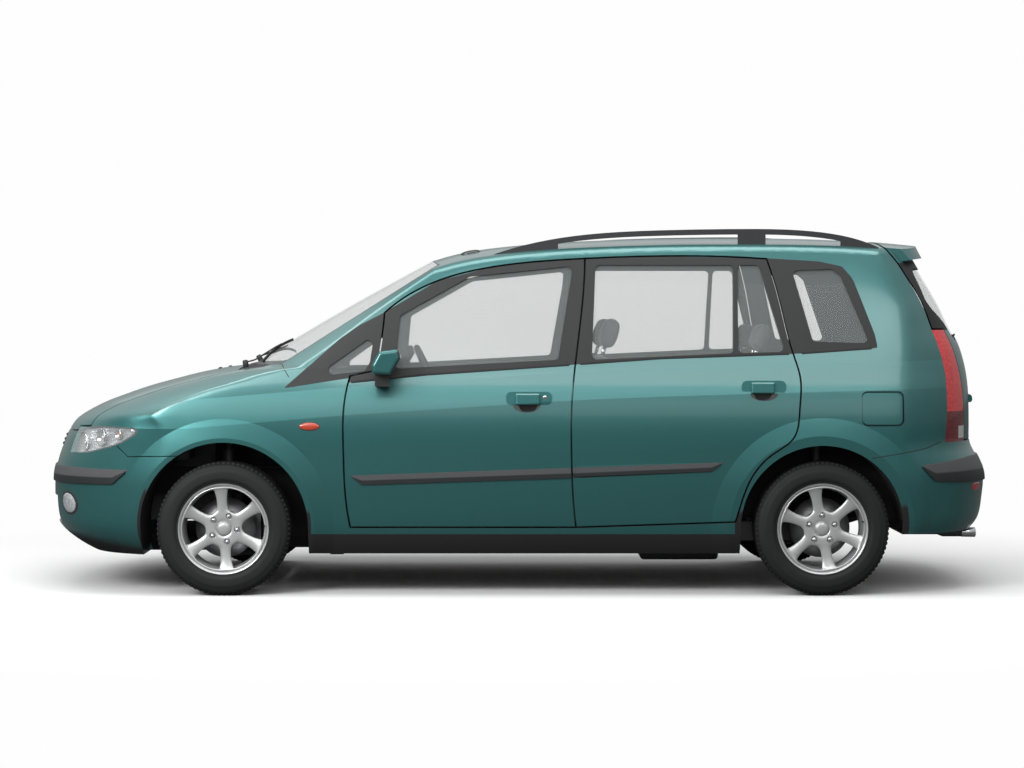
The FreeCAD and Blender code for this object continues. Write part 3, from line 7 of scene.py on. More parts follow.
# %% Load the frame
import json
import math
import bpy
import bmesh
from mathutils import Matrix, Vector
from mathutils.bvhtree import BVHTree


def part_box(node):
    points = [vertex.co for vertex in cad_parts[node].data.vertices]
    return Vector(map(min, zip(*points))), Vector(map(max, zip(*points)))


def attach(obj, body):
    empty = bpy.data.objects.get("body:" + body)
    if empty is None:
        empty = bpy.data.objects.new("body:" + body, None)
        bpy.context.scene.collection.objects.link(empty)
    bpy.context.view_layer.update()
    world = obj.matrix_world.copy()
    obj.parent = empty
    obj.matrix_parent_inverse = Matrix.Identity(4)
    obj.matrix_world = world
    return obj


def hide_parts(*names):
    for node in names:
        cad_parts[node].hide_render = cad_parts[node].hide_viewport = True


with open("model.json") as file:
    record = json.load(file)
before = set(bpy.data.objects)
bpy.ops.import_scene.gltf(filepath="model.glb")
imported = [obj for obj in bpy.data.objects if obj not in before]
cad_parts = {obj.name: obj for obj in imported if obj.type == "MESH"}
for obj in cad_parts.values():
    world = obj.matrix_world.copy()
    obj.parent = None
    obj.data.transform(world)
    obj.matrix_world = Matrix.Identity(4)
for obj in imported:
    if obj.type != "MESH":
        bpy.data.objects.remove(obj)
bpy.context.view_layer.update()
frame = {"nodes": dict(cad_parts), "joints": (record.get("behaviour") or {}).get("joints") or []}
nodes = frame["nodes"]
joints = {joint["name"]: joint for joint in frame["joints"]}
SIDES = {"left": -1, "right": 1}

# %% [markdown]
# ## A small workshop for materials
# Every finish is a node material. It could be put together by hand in the Shader Editor, but the car needs some
# thirty of them, so one class keeps each tree short to read: it starts with the shader, and each method adds one
# kind of node and gives back its output. Numbers that are the same all over a surface go straight onto the
# shader's own sockets.


# %% Material helper
class Finish:
    def __init__(self, name, colour, roughness, metallic=0.0, **sockets):
        self.material = bpy.data.materials.new(name)
        self.material.use_nodes = True
        self.tree = self.material.node_tree
        self.shader = self.tree.nodes["Principled BSDF"]
        self.shader.inputs["Base Color"].default_value = (*colour, 1)
        self.shader.inputs["Roughness"].default_value = roughness
        self.shader.inputs["Metallic"].default_value = metallic
        for socket, value in sockets.items():
            self.shader.inputs[socket.replace("_", " ")].default_value = value
        self.material.diffuse_color = (*colour, 1)
        self.coordinates = self.node("ShaderNodeTexCoord")

    def node(self, kind, **settings):
        made = self.tree.nodes.new(kind)
        for key, value in settings.items():
            setattr(made, key, value)
        return made

    def feed(self, socket, value):
        """Link a socket to another node's output, or write a plain number or colour on it."""
        if isinstance(value, bpy.types.NodeSocket):
            self.tree.links.new(value, socket)
        else:
            socket.default_value = value

    def axes(self, output="Object"):
        """The three parts of a point's place, or of its normal."""
        split = self.node("ShaderNodeSeparateXYZ")
        self.feed(split.inputs[0], self.coordinates.outputs[output])
        return split.outputs

    def maths(self, operation, *values):
        made = self.node("ShaderNodeMath", operation=operation)
        for socket, value in zip(made.inputs, values):
            self.feed(socket, value)
        return made.outputs[0]

    def rise(self, value, low, high, kind="LINEAR"):
        """A straight rise from 0 at low to 1 at high."""
        made = self.node("ShaderNodeMapRange", interpolation_type=kind)
        for socket, given in zip(made.inputs[:5], (value, low, high, 0.0, 1.0)):
            self.feed(socket, given)
        return made.outputs[0]

    def step(self, value, low, high):
        """The same rise with soft ends; with low above high it falls."""
        return self.rise(value, low, high, "SMOOTHSTEP")

    def curve(self, value, points):
        """A line through points, in the units of its axes."""
        heights = [p[1] for p in points]
        base, top = min(heights), max(heights)
        low, high = points[0][0], points[-1][0]
        line = self.node("ShaderNodeFloatCurve")
        self.feed(line.inputs["Value"], self.rise(value, low, high))
        rule = line.mapping.curves[0].points
        while len(rule) < len(points):
            rule.new(0.5, 0.5)
        for spot, (x, z) in zip(rule, points):
            spot.location = ((x - low) / (high - low), (z - base) / (top - base))
            spot.handle_type = "VECTOR"
        line.mapping.update()
        return self.maths("MULTIPLY_ADD", line.outputs[0], top - base, base)

    def pattern(self, kind, scale, output, **settings):
        """A texture node on the piece's own coordinates."""
        made = self.node(kind, **settings)
        made.inputs["Scale"].default_value = scale
        self.feed(made.inputs["Vector"], self.coordinates.outputs["Object"])
        return made.outputs[output]

    def noise(self, scale, detail=2.0, roughness=0.5):
        cloud = self.pattern("ShaderNodeTexNoise", scale, "Fac")
        cloud.node.inputs["Detail"].default_value = detail
        cloud.node.inputs["Roughness"].default_value = roughness
        return cloud

    def waves(self, scale, direction):
        return self.pattern("ShaderNodeTexWave", scale, "Fac", wave_type="BANDS", bands_direction=direction)

    def cells(self, scale):
        return self.pattern("ShaderNodeTexVoronoi", scale, "Distance")

    def mix(self, share, a, b):
        """A mix of two colours."""
        made = self.node("ShaderNodeMix", data_type="RGBA")
        self.feed(made.inputs[0], share)
        for socket, value in ((made.inputs[6], a), (made.inputs[7], b)):
            self.feed(socket, (*value, 1) if isinstance(value, tuple) else value)
        return made.outputs[2]

    def blend(self, share, a, b):
        """A mix of two numbers."""
        made = self.node("ShaderNodeMix")
        for at, value in ((0, share), (2, a), (3, b)):
            self.feed(made.inputs[at], value)
        return made.outputs[0]

    def ramp(self, share, low_colour, high_colour, low=0.0, high=1.0):
        made = self.node("ShaderNodeValToRGB")
        for end, place, colour in zip(made.color_ramp.elements, (low, high), (low_colour, high_colour)):
            end.position, end.color = place, (*colour, 1)
        self.feed(made.inputs[0], share)
        return made.outputs[0]

    def colour(self, value):
        self.feed(self.shader.inputs["Base Color"], value)

    def rough(self, share, low, high):
        """Roughness that wanders between two values."""
        self.feed(self.shader.inputs["Roughness"], self.blend(share, low, high))

    def bump(self, height, distance, strength=1.0, under=None):
        made = self.node("ShaderNodeBump")
        made.inputs["Distance"].default_value = distance
        made.inputs["Strength"].default_value = strength
        self.feed(made.inputs["Height"], height)
        if under is not None:
            self.feed(made.inputs["Normal"], under)
        self.feed(self.shader.inputs["Normal"], made.outputs[0])
        return made.outputs[0]


print("finish helper:", *(name for name in vars(Finish) if not name.startswith("_")))

# %% [markdown]
# ## Paint
# The body colour is a teal metallic paint: fine aluminium flakes in a coloured base under a clear coat. The
# flakes are a very fine noise that shifts the colour and the gloss a little. Faces that look up are painted a
# lighter tone as a painted highlight, and less so high on the roof. The real car has dark film on its window
# frames and grey strips along its sides. They could be pieces of their own, but they lie flush, so the material
# reads where a point is on the car and changes there. The lines below are drawn in the side view, as X and Z.

# %% Lines and colours of the body
BELT_LINE = [(-1.056, 0.921), (-1.034, 0.923), (-0.802, 0.946), (-0.415, 0.985), (0.248, 1.030), (0.628, 1.057),
             (1.233, 1.078), (1.575, 1.101), (1.603, 1.106)]
ROOF_LINE = [(-1.056, 0.921), (-0.806, 1.144), (-0.716, 1.207), (-0.613, 1.260), (-0.369, 1.406), (-0.124, 1.469),
             (0.072, 1.494), (0.298, 1.505), (0.638, 1.518), (1.125, 1.509), (1.356, 1.495), (1.460, 1.472),
             (1.506, 1.415), (1.597, 1.152), (1.603, 1.106)]
SCREEN_LINE = [(-1.0789, 1.0274), (-0.3659, 1.4837)]  # foot and head of the windscreen's rear edge
SIDE_STRIPS = {  # lower and upper edge of the grey strips
    "doors": ([(-0.755, 0.5345), (-0.702, 0.4945), (0.255, 0.5270), (0.850, 0.5545), (0.908, 0.5935)],
              [(-0.755, 0.5375), (0.255, 0.5730), (0.908, 0.5965)]),
    "front": ([(-2.400, 0.4890), (-2.092, 0.4890), (-1.823, 0.4930), (-1.749, 0.5560)],
              [(-2.400, 0.5650), (-2.092, 0.5650), (-1.749, 0.5600)]),
    "rear": ([(1.790, 0.5775), (1.856, 0.5080), (2.073, 0.4970), (2.300, 0.4970)],
             [(1.790, 0.5805), (2.050, 0.6140), (2.300, 0.6140)])}
SHOULDER = [(-1.50, 0.745), (-0.782, 0.805), (0.224, 0.871), (0.625, 0.888), (1.90, 0.925)]
SHOULDER_FALL = 0.125  # height over which the shoulder crease runs out
FLARES = (("front_wheel_left", 0.405, 0.490), ("rear_wheel_left", 0.414, 0.495))  # inner and outer reach
HANDLE_CUPS = ((0.031, 0.851, 0.061, 0.034), (1.089, 0.901, 0.063, 0.033))  # middle, top edge, half length, drop
FLANK = 0.71  # half width beyond which a face belongs to the outer side of a door
PAINT = (0.030, 0.152, 0.152)
PAINT_DEEP = (0.011, 0.082, 0.083)
PAINT_FLAKE = (0.062, 0.250, 0.245)
# the painted highlight: a lighter tone given to faces that look up
PAINT_PAINTED_HIGHLIGHT = (0.150, 0.285, 0.280)
PAINT_METAL = 0.55
# the grey strips' two tones: a painted highlight above their crease and painted shade below
STRIP_PAINTED_HIGHLIGHT = (0.085, 0.088, 0.091)
STRIP_PAINTED_SHADE = (0.016, 0.020, 0.021)
FILM = (0.0095, 0.0110, 0.0112)
CUP_SHADE = (0.022, 0.030, 0.030)
LINING = (0.085, 0.087, 0.092)
UNDERCOAT = (0.014, 0.014, 0.015)
print("side strips:", *SIDE_STRIPS, "- arch flares:", len(FLARES))

# %% [markdown]
# ### Masks
# A mask is 1 where something lies and 0 elsewhere, with a soft edge of a millimetre or two. Each one is a product
# of steps, because a product is 1 only where all its steps are.


# %% Masks of film, strips and cups
def window_film(paint, x, z):
    """The frames and pillars between the belt line and the roof line."""
    edge = 0.0015
    above = paint.step(paint.maths("SUBTRACT", z, paint.curve(x, BELT_LINE)), -edge, edge)
    under = paint.step(paint.maths("SUBTRACT", paint.curve(x, ROOF_LINE), z), -edge, edge)
    ahead = paint.step(x, BELT_LINE[0][0], BELT_LINE[0][0] + 0.006)
    behind = paint.step(paint.maths("SUBTRACT", BELT_LINE[-1][0], x), 0.0, 0.004)
    return paint.maths("MULTIPLY", paint.maths("MULTIPLY", above, under), paint.maths("MULTIPLY", ahead, behind))


def screen_lining(paint, x, z):
    """The cut faces of the pillars and the header, right behind the windscreen."""
    off = paint.maths("ABSOLUTE", paint.maths("SUBTRACT", z, paint.curve(x, SCREEN_LINE)))
    mask = paint.maths("MULTIPLY", paint.step(off, 0.004, 0.003), paint.step(x, -1.080, -1.076))
    return paint.maths("MULTIPLY", mask, paint.step(x, -0.360, -0.366))


def tailgate_film(paint, x, z):
    """The glazed upper part of the tailgate, below the spoiler."""
    under = paint.maths("SUBTRACT", paint.maths("MULTIPLY_ADD", x, 0.149, 1.231), z)
    return paint.maths("MULTIPLY", paint.step(z, 1.182, 1.186), paint.step(under, -0.001, 0.001))


def strip_band(paint, x, y, z, strip):
    """The band of a grey strip, and its tone: a painted highlight above its crease and painted shade below."""
    lower, upper = SIDE_STRIPS[strip]
    low_x, high_x = lower[0][0], lower[-1][0]
    low, high = paint.curve(x, lower), paint.curve(x, upper)
    band = paint.maths("MULTIPLY", paint.step(paint.maths("SUBTRACT", z, low), -0.0006, 0.0006),
                       paint.step(paint.maths("SUBTRACT", high, z), -0.0006, 0.0006))
    band = paint.maths("MULTIPLY", band, paint.step(x, low_x - 0.001, low_x + 0.001))
    band = paint.maths("MULTIPLY", band, paint.step(x, high_x + 0.001, high_x - 0.001))
    if strip == "doors":
        band = paint.maths("MULTIPLY", band, outer_side(paint, y))
    share = paint.maths("DIVIDE", paint.maths("SUBTRACT", z, low), paint.maths("SUBTRACT", high, low))
    return band, paint.mix(paint.step(share, 0.42, 0.52), STRIP_PAINTED_SHADE, STRIP_PAINTED_HIGHLIGHT)


def outer_side(paint, y):
    return paint.step(paint.maths("ABSOLUTE", y), FLANK - 0.01, FLANK + 0.01)


def handle_cup(paint, x, y, z, middle, top, half, drop):
    """The lower half of an ellipse under a door handle."""
    across = paint.maths("POWER", paint.maths("DIVIDE", paint.maths("SUBTRACT", x, middle), half), 2.0)
    down = paint.maths("POWER", paint.maths("DIVIDE", paint.maths("SUBTRACT", z, top), drop), 2.0)
    cup = paint.step(paint.maths("ADD", across, down), 1.02, 0.96)
    cup = paint.maths("MULTIPLY", cup, paint.step(z, top + 0.0005, top - 0.0005))
    return paint.maths("MULTIPLY", cup, outer_side(paint, y))


print("masks: window film, windscreen lining, tailgate film, side strips, handle cups")

# %% [markdown]
# ### Faces that are not painted
# One sheet has a painted side and a bare one. The normal tells them apart: a face that looks to the middle of the
# cabin gets the lining's colour. The wheel arches and the floor pan get a coarse dark coat.


# %% Masks of the inner side, the flap's seam and the underside
def cabin_side(paint, place, normal, whole):
    """Faces that look into the cabin; on the whole shell also those ahead, behind and above."""
    facing = paint.maths("MULTIPLY", paint.maths("MULTIPLY", place[1], 1.4), normal[1])
    if whole:
        from_middle = paint.maths("MULTIPLY", paint.maths("SUBTRACT", place[0], 0.35), 0.35)
        lengthways = paint.maths("MULTIPLY", from_middle, normal[0])
        upwards = paint.maths("MULTIPLY", paint.maths("SUBTRACT", place[2], 0.95), normal[2])
        facing = paint.maths("ADD", facing, paint.maths("ADD", lengthways, upwards))
    return paint.step(facing, -0.16, -0.22)


def flap_seam(paint, x, y, z):
    """The fuel flap's hinge edge, where it meets the body face to face."""
    level = paint.maths("MULTIPLY", paint.step(z, 0.760, 0.766), paint.step(z, 0.908, 0.902))
    line = paint.maths("MULTIPLY", paint.step(x, 1.5218, 1.5226), paint.step(x, 1.5252, 1.5244))
    return paint.maths("MULTIPLY", paint.maths("MULTIPLY", line, level), paint.step(y, 0.01 - FLANK, -0.01 - FLANK))


def underside(paint, place, normal, sills):
    """The floor pan, the sills' lower faces and the wheel arches."""
    x, y, z = place
    pan = paint.maths("MULTIPLY", paint.step(normal[2], -0.6, -0.8), paint.step(z, 0.40, 0.36))
    if sills:
        pan = paint.maths("MAXIMUM", pan, paint.step(z, 0.276, 0.271))
    for joint in ("front_wheel_left", "rear_wheel_left"):
        near = paint.step(reach_from(paint, x, z, joint, 0.01), 0.392, 0.388)
        near = paint.maths("MULTIPLY", near, paint.step(paint.maths("ABSOLUTE", y), 0.822, 0.815))
        pan = paint.maths("MAXIMUM", pan, near)
    return pan


def reach_from(paint, x, z, joint, lift=0.0):
    """The distance from a wheel's axle in the side view."""
    axle = joints[joint]["pos_m"]
    along = paint.maths("POWER", paint.maths("SUBTRACT", x, axle[0]), 2.0)
    up = paint.maths("POWER", paint.maths("SUBTRACT", z, axle[2] + lift), 2.0)
    return paint.maths("SQRT", paint.maths("ADD", along, up))


def pressed_height(paint, x, z):
    """The shoulder crease and the arch flares, which are pressed into the sheet, as a height for a bump."""
    height = paint.rise(paint.maths("SUBTRACT", z, paint.curve(x, SHOULDER)), SHOULDER_FALL, 0.0)
    for joint, inner, outer in FLARES:
        height = paint.maths("ADD", height, paint.rise(reach_from(paint, x, z, joint), outer, inner))
    return height


print("masks: cabin side, flap seam, underside - and the pressed height of crease and flares")

# %% [markdown]
# ### The paint itself
# The layers go on in the order in which they lie on the car. Each one covers the colour, dulls the gloss and takes
# the metal and the clear coat away where its mask is 1.


# %% Body paint
def flaked(paint):
    """The teal base with its flakes; gives the colour and the flakes."""
    flakes = paint.noise(2600, 1.0)
    tone = paint.ramp(flakes, PAINT_DEEP, PAINT_FLAKE, 0.22, 0.78)
    return paint.mix(0.6, tone, PAINT), flakes


def body_paint(name, film=None, lined=None, below=False, strip=None, cups=False, flap_line=False, form=True):
    paint = Finish(name, PAINT, 0.30, PAINT_METAL, Coat_Weight=0.8, Coat_Roughness=0.12)
    place, normal = paint.axes(), paint.axes("Normal")
    x, y, z = place
    colour, flakes = flaked(paint)
    # Painted highlight: faces that look up are painted lighter, and less so high on the roof.
    painted_highlight = paint.maths("MULTIPLY", paint.step(normal[2], 0.02, 0.70),
                      paint.blend(paint.step(z, 1.22, 1.42), 0.9, 0.15))
    look = {"colour": paint.mix(painted_highlight, colour, PAINT_PAINTED_HIGHLIGHT), "rough": paint.blend(flakes, 0.27, 0.40),
            "metal": PAINT_METAL, "bare": None}

    def cover(mask, tone, roughness):
        look["colour"] = paint.mix(mask, look["colour"], tone)
        look["rough"] = paint.blend(mask, look["rough"], roughness)
        look["metal"] = paint.blend(mask, look["metal"], 0.0)
        look["bare"] = mask if look["bare"] is None else paint.maths("MAXIMUM", look["bare"], mask)

    if film == "windows":
        cover(window_film(paint, x, z), FILM, 0.5)
    if film == "windows" and lined == "whole":
        cover(screen_lining(paint, x, z), LINING, 0.5)
    if film == "tailgate":
        cover(tailgate_film(paint, x, z), FILM, 0.5)
    if strip:
        cover(*strip_band(paint, x, y, z, strip), 0.55)
    for cup in HANDLE_CUPS if cups else ():
        mask = handle_cup(paint, x, y, z, *cup)
        look["colour"] = paint.mix(mask, look["colour"], CUP_SHADE)
        look["metal"] = paint.blend(mask, look["metal"], 0.1)
    if lined:
        cover(cabin_side(paint, place, normal, lined == "whole"), LINING, 0.82)
    if flap_line:
        look["colour"] = paint.mix(flap_seam(paint, x, y, z), look["colour"], FILM)
    if below:
        cover(underside(paint, place, normal, lined == "whole"), UNDERCOAT, 0.9)
    paint.colour(look["colour"])
    paint.feed(paint.shader.inputs["Roughness"], look["rough"])
    paint.feed(paint.shader.inputs["Metallic"], look["metal"])
    if look["bare"] is not None:
        paint.feed(paint.shader.inputs["Coat Weight"], paint.blend(look["bare"], 0.8, 0.0))
    pressed = paint.bump(pressed_height(paint, x, z), 0.016) if form else None
    paint.bump(flakes, 0.00004, 0.25, under=pressed)
    return paint.material


shell_paint = body_paint("shell_paint", film="windows", lined="whole", below=True)
door_paint = body_paint("door_paint", film="windows", lined="doors", strip="doors", cups=True)
panel_paint = body_paint("panel_paint", below=True)
front_paint = body_paint("front_bumper_paint", below=True, strip="front")
flap_paint = body_paint("fuel_flap_paint", flap_line=True)
tailgate_paint = body_paint("tailgate_paint", film="tailgate", form=False)
bonnet_paint = body_paint("bonnet_paint", form=False)
rear_paint = body_paint("rear_bumper_paint", below=True, strip="rear")
print("paints:", *(m.name for m in (shell_paint, door_paint, panel_paint, front_paint, rear_paint)))

# %% [markdown]
# ## Plastics, rubber, metal, cloth and glass
# Unpainted trim has a moulded grain: a fine bump and a slight change of tone. Metal parts under the car are
# coated and dull.


# %% Trim materials
def grained(name, colour, roughness, scale, depth, **sockets):
    trim = Finish(name, colour, roughness, **sockets)
    grain = trim.noise(scale, 3.0, 0.6)
    cloud = trim.noise(9)
    tone = trim.blend(0.35, grain, cloud)
    trim.colour(trim.mix(tone, tuple(c * 0.8 for c in colour), tuple(c * 1.35 for c in colour)))
    trim.rough(grain, roughness - 0.07, roughness + 0.08)
    trim.bump(grain, depth, 0.5)
    return trim.material


dark_trim = grained("dark_trim", (0.026, 0.027, 0.029), 0.6, 900, 0.0002)
cabin_plastic = grained("cabin_plastic", (0.075, 0.077, 0.082), 0.7, 700, 0.0003)
gloss_black = Finish("gloss_black", (0.012, 0.012, 0.013), 0.14, Coat_Weight=0.4).material
undercoat = grained("undercoat", (0.016, 0.016, 0.017), 0.85, 260, 0.0008)
rubber = grained("seal_rubber", (0.016, 0.016, 0.017), 0.75, 500, 0.0002)
coated_steel = grained("coated_steel", (0.09, 0.09, 0.094), 0.55, 120, 0.0004, metallic=0.6)
cast_metal = grained("cast_metal", (0.16, 0.16, 0.165), 0.6, 60, 0.001, metallic=0.8)
print("trim:", dark_trim.name, cabin_plastic.name, rubber.name, coated_steel.name)

# %% [markdown]
# ### Glass
# The glass is thin and lightly tinted, so it is clear with a little colour instead of a solid block that bends
# what is behind it.


# %% Glass
def clear(name, colour, alpha):
    glass = Finish(name, colour, 0.02, Transmission_Weight=0.0, Alpha=alpha, IOR=1.32)
    glass.rough(glass.noise(1.5, 1.0), 0.02, 0.04)
    glass.material.surface_render_method = "BLENDED"
    return glass.material


window_glass = clear("window_glass", (0.42, 0.47, 0.46), 0.17)
lamp_cover = clear("lamp_cover", (0.8, 0.84, 0.86), 0.16)
print("glass:", window_glass.name, lamp_cover.name)

# %% [markdown]
# ## Dressing the CAD nodes
# Most nodes of the frame stay as they are and only get a finish. A few, such as the wheels, are replaced later by
# finer pieces; they get a finish too, so nothing is left bare while the scene grows.


# %% Dress the CAD nodes
def recoloured(piece, material):
    piece.data.materials.clear()
    piece.data.materials.append(material)
    return piece


DRESS = {"body_shell": shell_paint, "wings": panel_paint, "bonnet": bonnet_paint, "front_bumper": front_paint,
         "rear_bumper": rear_paint, "tailgate": tailgate_paint, "fuel_flap": flap_paint, "cowl_panel": dark_trim,
         "underbody": undercoat, "grille": gloss_black, "roof_rails": dark_trim, "engine": cast_metal,
         "front_axle": coated_steel, "rear_axle": coated_steel, "fuel_tank": dark_trim, "exhaust": coated_steel,
         "dashboard": cabin_plastic, "steering_wheel": cabin_plastic, "fixed_glass": window_glass,
         "tailgate_glass": window_glass, "head_lamps": lamp_cover, "front_seats": cabin_plastic,
         "rear_seats": cabin_plastic}
for side in SIDES:
    for row in ("front", "rear"):
        DRESS.update({row + "_door_" + side: door_paint, row + "_door_glass_" + side: window_glass,
                      row + "_wheel_" + side: coated_steel, row + "_tyre_" + side: rubber})
    DRESS["front_knuckle_" + side] = coated_steel
for node, material in DRESS.items():
    recoloured(nodes[node], material)
print("dressed", len(DRESS), "of", len(nodes), "nodes; the mirrors and the tail lamps follow with their own finish")

# %% [markdown]
# ## Floor, light and camera
# The photo is a studio cut-out: a car on a near white floor that runs into a near white background, with one
# soft dark shadow under it. The floor is a very large pale plane, and the world gives the same pale tone to the
# camera. What the paint mirrors is darker near the ground and lighter above, as in a real studio, so the world has
# a slow rise with height for all other rays.

# %% Backdrop
BACKDROP = (0.985, 0.99, 0.985)
FLOOR_TONE, FLOOR_MIRRORED = (0.93, 0.935, 0.93), (0.10, 0.10, 0.10)
world = bpy.data.worlds.new("studio")
bpy.context.scene.world = world
world.use_nodes = True
studio = world.node_tree
background = studio.nodes["Background"]
background.inputs["Color"].default_value = (*BACKDROP, 1)
rays, seen = studio.nodes.new("ShaderNodeLightPath"), studio.nodes.new("ShaderNodeMath")
direction, parts = studio.nodes.new("ShaderNodeTexCoord"), studio.nodes.new("ShaderNodeSeparateXYZ")
sky, level = studio.nodes.new("ShaderNodeMapRange"), studio.nodes.new("ShaderNodeMapRange")
seen.operation = "MAXIMUM"
for socket, value in zip(("From Min", "From Max", "To Min", "To Max"), (-0.05, 0.80, 0.24, 0.60)):
    sky.inputs[socket].default_value = value
level.inputs["To Max"].default_value = 1.0
for start, end in ((rays.outputs["Is Camera Ray"], seen.inputs[0]),
                   (rays.outputs["Is Transmission Ray"], seen.inputs[1]),
                   (direction.outputs["Generated"], parts.inputs[0]), (parts.outputs["Z"], sky.inputs["Value"]),
                   (sky.outputs[0], level.inputs["To Min"]), (seen.outputs[0], level.inputs["Value"]),
                   (level.outputs[0], background.inputs["Strength"])):
    studio.links.new(start, end)
print("backdrop:", BACKDROP)

# %% [markdown]
# ### Floor
# Near the car the floor is pale paper that takes a shadow. Further out it fades into the backdrop, so no horizon
# shows. In the paint's mirror image it is dark.

# %% Floor
floor_mesh = bpy.data.meshes.new("floor")
reach = 60.0
floor_mesh.from_pydata([(-reach, -reach, 0), (reach, -reach, 0), (reach, reach, 0), (-reach, reach, 0)], [],
                       [(0, 1, 2, 3)])
floor = bpy.data.objects.new("floor", floor_mesh)
bpy.context.scene.collection.objects.link(floor)
paper = Finish("studio_floor", FLOOR_TONE, 0.85)
paper.rough(paper.noise(0.8), 0.8, 0.9)
rays = paper.node("ShaderNodeLightPath").outputs
paper.colour(paper.mix(rays["Is Camera Ray"], FLOOR_MIRRORED, FLOOR_TONE))
far_floor = paper.node("ShaderNodeEmission")  # far from the car the floor runs into the backdrop
far_floor.inputs["Color"].default_value = (*BACKDROP, 1)
plain_rays = paper.maths("MAXIMUM", rays["Is Camera Ray"], rays["Is Transmission Ray"])
along, aside, _ = paper.axes()
squares = paper.maths("ADD", paper.maths("POWER", paper.maths("DIVIDE", along, 1.25), 2.0),
                      paper.maths("POWER", aside, 2.0))
fade = paper.maths("MULTIPLY", paper.step(paper.maths("SQRT", squares), 1.6, 3.6), plain_rays)
floor_mix = paper.node("ShaderNodeMixShader")
for socket, value in zip(floor_mix.inputs, (fade, paper.shader.outputs[0], far_floor.outputs[0])):
    paper.feed(socket, value)
paper.feed(paper.tree.nodes["Material Output"].inputs["Surface"], floor_mix.outputs[0])
floor_mesh.materials.append(paper.material)
print("floor:", 2 * reach, "m wide")

# %% [markdown]
# ### Lamps
# Area lamps stand in for softboxes: a wide one above, a long one and a low one on the camera's side, one that
# brightens the nose, and a weak one behind that lifts the far edges. Their power is kept low, so the paint shows
# the colour that it is given.


# %% Lamps
def softbox(name, place, target, width, height, power):
    data = bpy.data.lights.new(name, "AREA")
    data.shape, data.size, data.size_y, data.energy = "RECTANGLE", width, height, power
    lamp = bpy.data.objects.new(name, data)
    lamp.location = place
    lamp.rotation_euler = (Vector(target) - Vector(place)).to_track_quat("-Z", "Y").to_euler()
    bpy.context.scene.collection.objects.link(lamp)


softbox("top_light", (0.0, -0.9, 5.2), (0, 0, 0.8), 7.0, 2.0, 170)
softbox("near_light", (-0.5, -6.4, 5.2), (0, 0, 0.8), 10.0, 2.2, 190)
softbox("front_light", (-4.6, -5.6, 3.6), (-1.5, 0, 0.8), 2.8, 2.2, 280)
softbox("low_light", (0.2, -9.5, 2.8), (0.2, 0, 0.6), 10.0, 1.6, 45)
softbox("far_light", (0.0, 7.5, 3.6), (0, 0, 0.9), 9.0, 1.2, 10)
print("lamps:", *(lamp.name for lamp in bpy.data.lights))

# %% [markdown]
# ### Camera
# The photo was taken with a long lens, level and square to the side. The place and the lens come from measuring
# it: the wheels' bases, the roof and the bumpers have to fall where they do in the picture. A small shift moves the
# frame without tilting the camera, so upright lines stay upright.

# %% Camera
lens = bpy.data.cameras.new("photo_camera")
lens.sensor_width, lens.lens, lens.clip_end = 36.0, 86.1, 200.0
lens.shift_x, lens.shift_y = 0.0166, -0.0605
camera = bpy.data.objects.new("photo_camera", lens)
camera.location = (-0.1095, -11.73, 1.22)
camera.rotation_euler = (math.radians(90), 0, 0)
bpy.context.scene.collection.objects.link(camera)
bpy.context.scene.camera = camera
bpy.context.scene.view_settings.view_transform = "Standard"
print("camera: lens", round(lens.lens, 1), "mm,", round(-camera.location.y, 2), "m from the car's middle")

# %% [markdown]
# ## Making and placing pieces
# Each added piece is a mesh of its own. These helpers make one from points and faces, tidy its normals, join
# several with their finishes kept, and move or copy it.


# %% Mesh helpers
def new_piece(name, verts, faces, material, smooth=True):
    mesh = bpy.data.meshes.new(name)
    mesh.from_pydata([tuple(v) for v in verts], [], faces)
    mesh.materials.append(material)
    mesh.polygons.foreach_set("use_smooth", [smooth] * len(mesh.polygons))
    mesh.update()
    piece = bpy.data.objects.new(name, mesh)
    bpy.context.scene.collection.objects.link(piece)
    return piece


def outward(piece, merge=0.00002, thin=None):
    """Merge doubled points, drop faces without area where that is asked, and turn every face outwards."""
    work = bmesh.new()
    work.from_mesh(piece.data)
    bmesh.ops.remove_doubles(work, verts=work.verts, dist=merge)
    if thin:
        bmesh.ops.dissolve_degenerate(work, dist=thin, edges=work.edges)
    bmesh.ops.recalc_face_normals(work, faces=work.faces)
    work.to_mesh(piece.data)
    work.free()
    return piece


def flat_copy(piece):
    """Turn a piece with modifiers into a plain mesh."""
    evaluated = piece.evaluated_get(bpy.context.evaluated_depsgraph_get())
    made = bpy.data.meshes.new_from_object(evaluated)
    piece.modifiers.clear()
    piece.data = made
    return piece


def sharp_smooth(piece, angle=40):
    """Smooth shading with edges sharper than an angle kept crisp."""
    mesh = piece.data
    mesh.polygons.foreach_set("use_smooth", [True] * len(mesh.polygons))
    mesh.set_sharp_from_angle(angle=math.radians(angle))
    return piece


def joined_piece(name, pieces):
    """One piece from several, with their materials kept."""
    verts, faces, marks, materials, smooth = [], [], [], [], []
    for piece in pieces:
        mesh = piece.data
        base = len(verts)
        verts += [v.co.copy() for v in mesh.vertices]
        for polygon in mesh.polygons:
            faces.append([base + i for i in polygon.vertices])
            finish = mesh.materials[polygon.material_index]
            if finish not in materials:
                materials.append(finish)
            marks.append(materials.index(finish))
            smooth.append(polygon.use_smooth)
        bpy.data.objects.remove(piece)
    whole = new_piece(name, verts, faces, materials[0])
    for finish in materials[1:]:
        whole.data.materials.append(finish)
    whole.data.polygons.foreach_set("material_index", marks)
    whole.data.polygons.foreach_set("use_smooth", smooth)
    return whole


def moved(piece, matrix):
    piece.data.transform(matrix)
    if matrix.determinant() < 0:
        piece.data.flip_normals()
    return piece


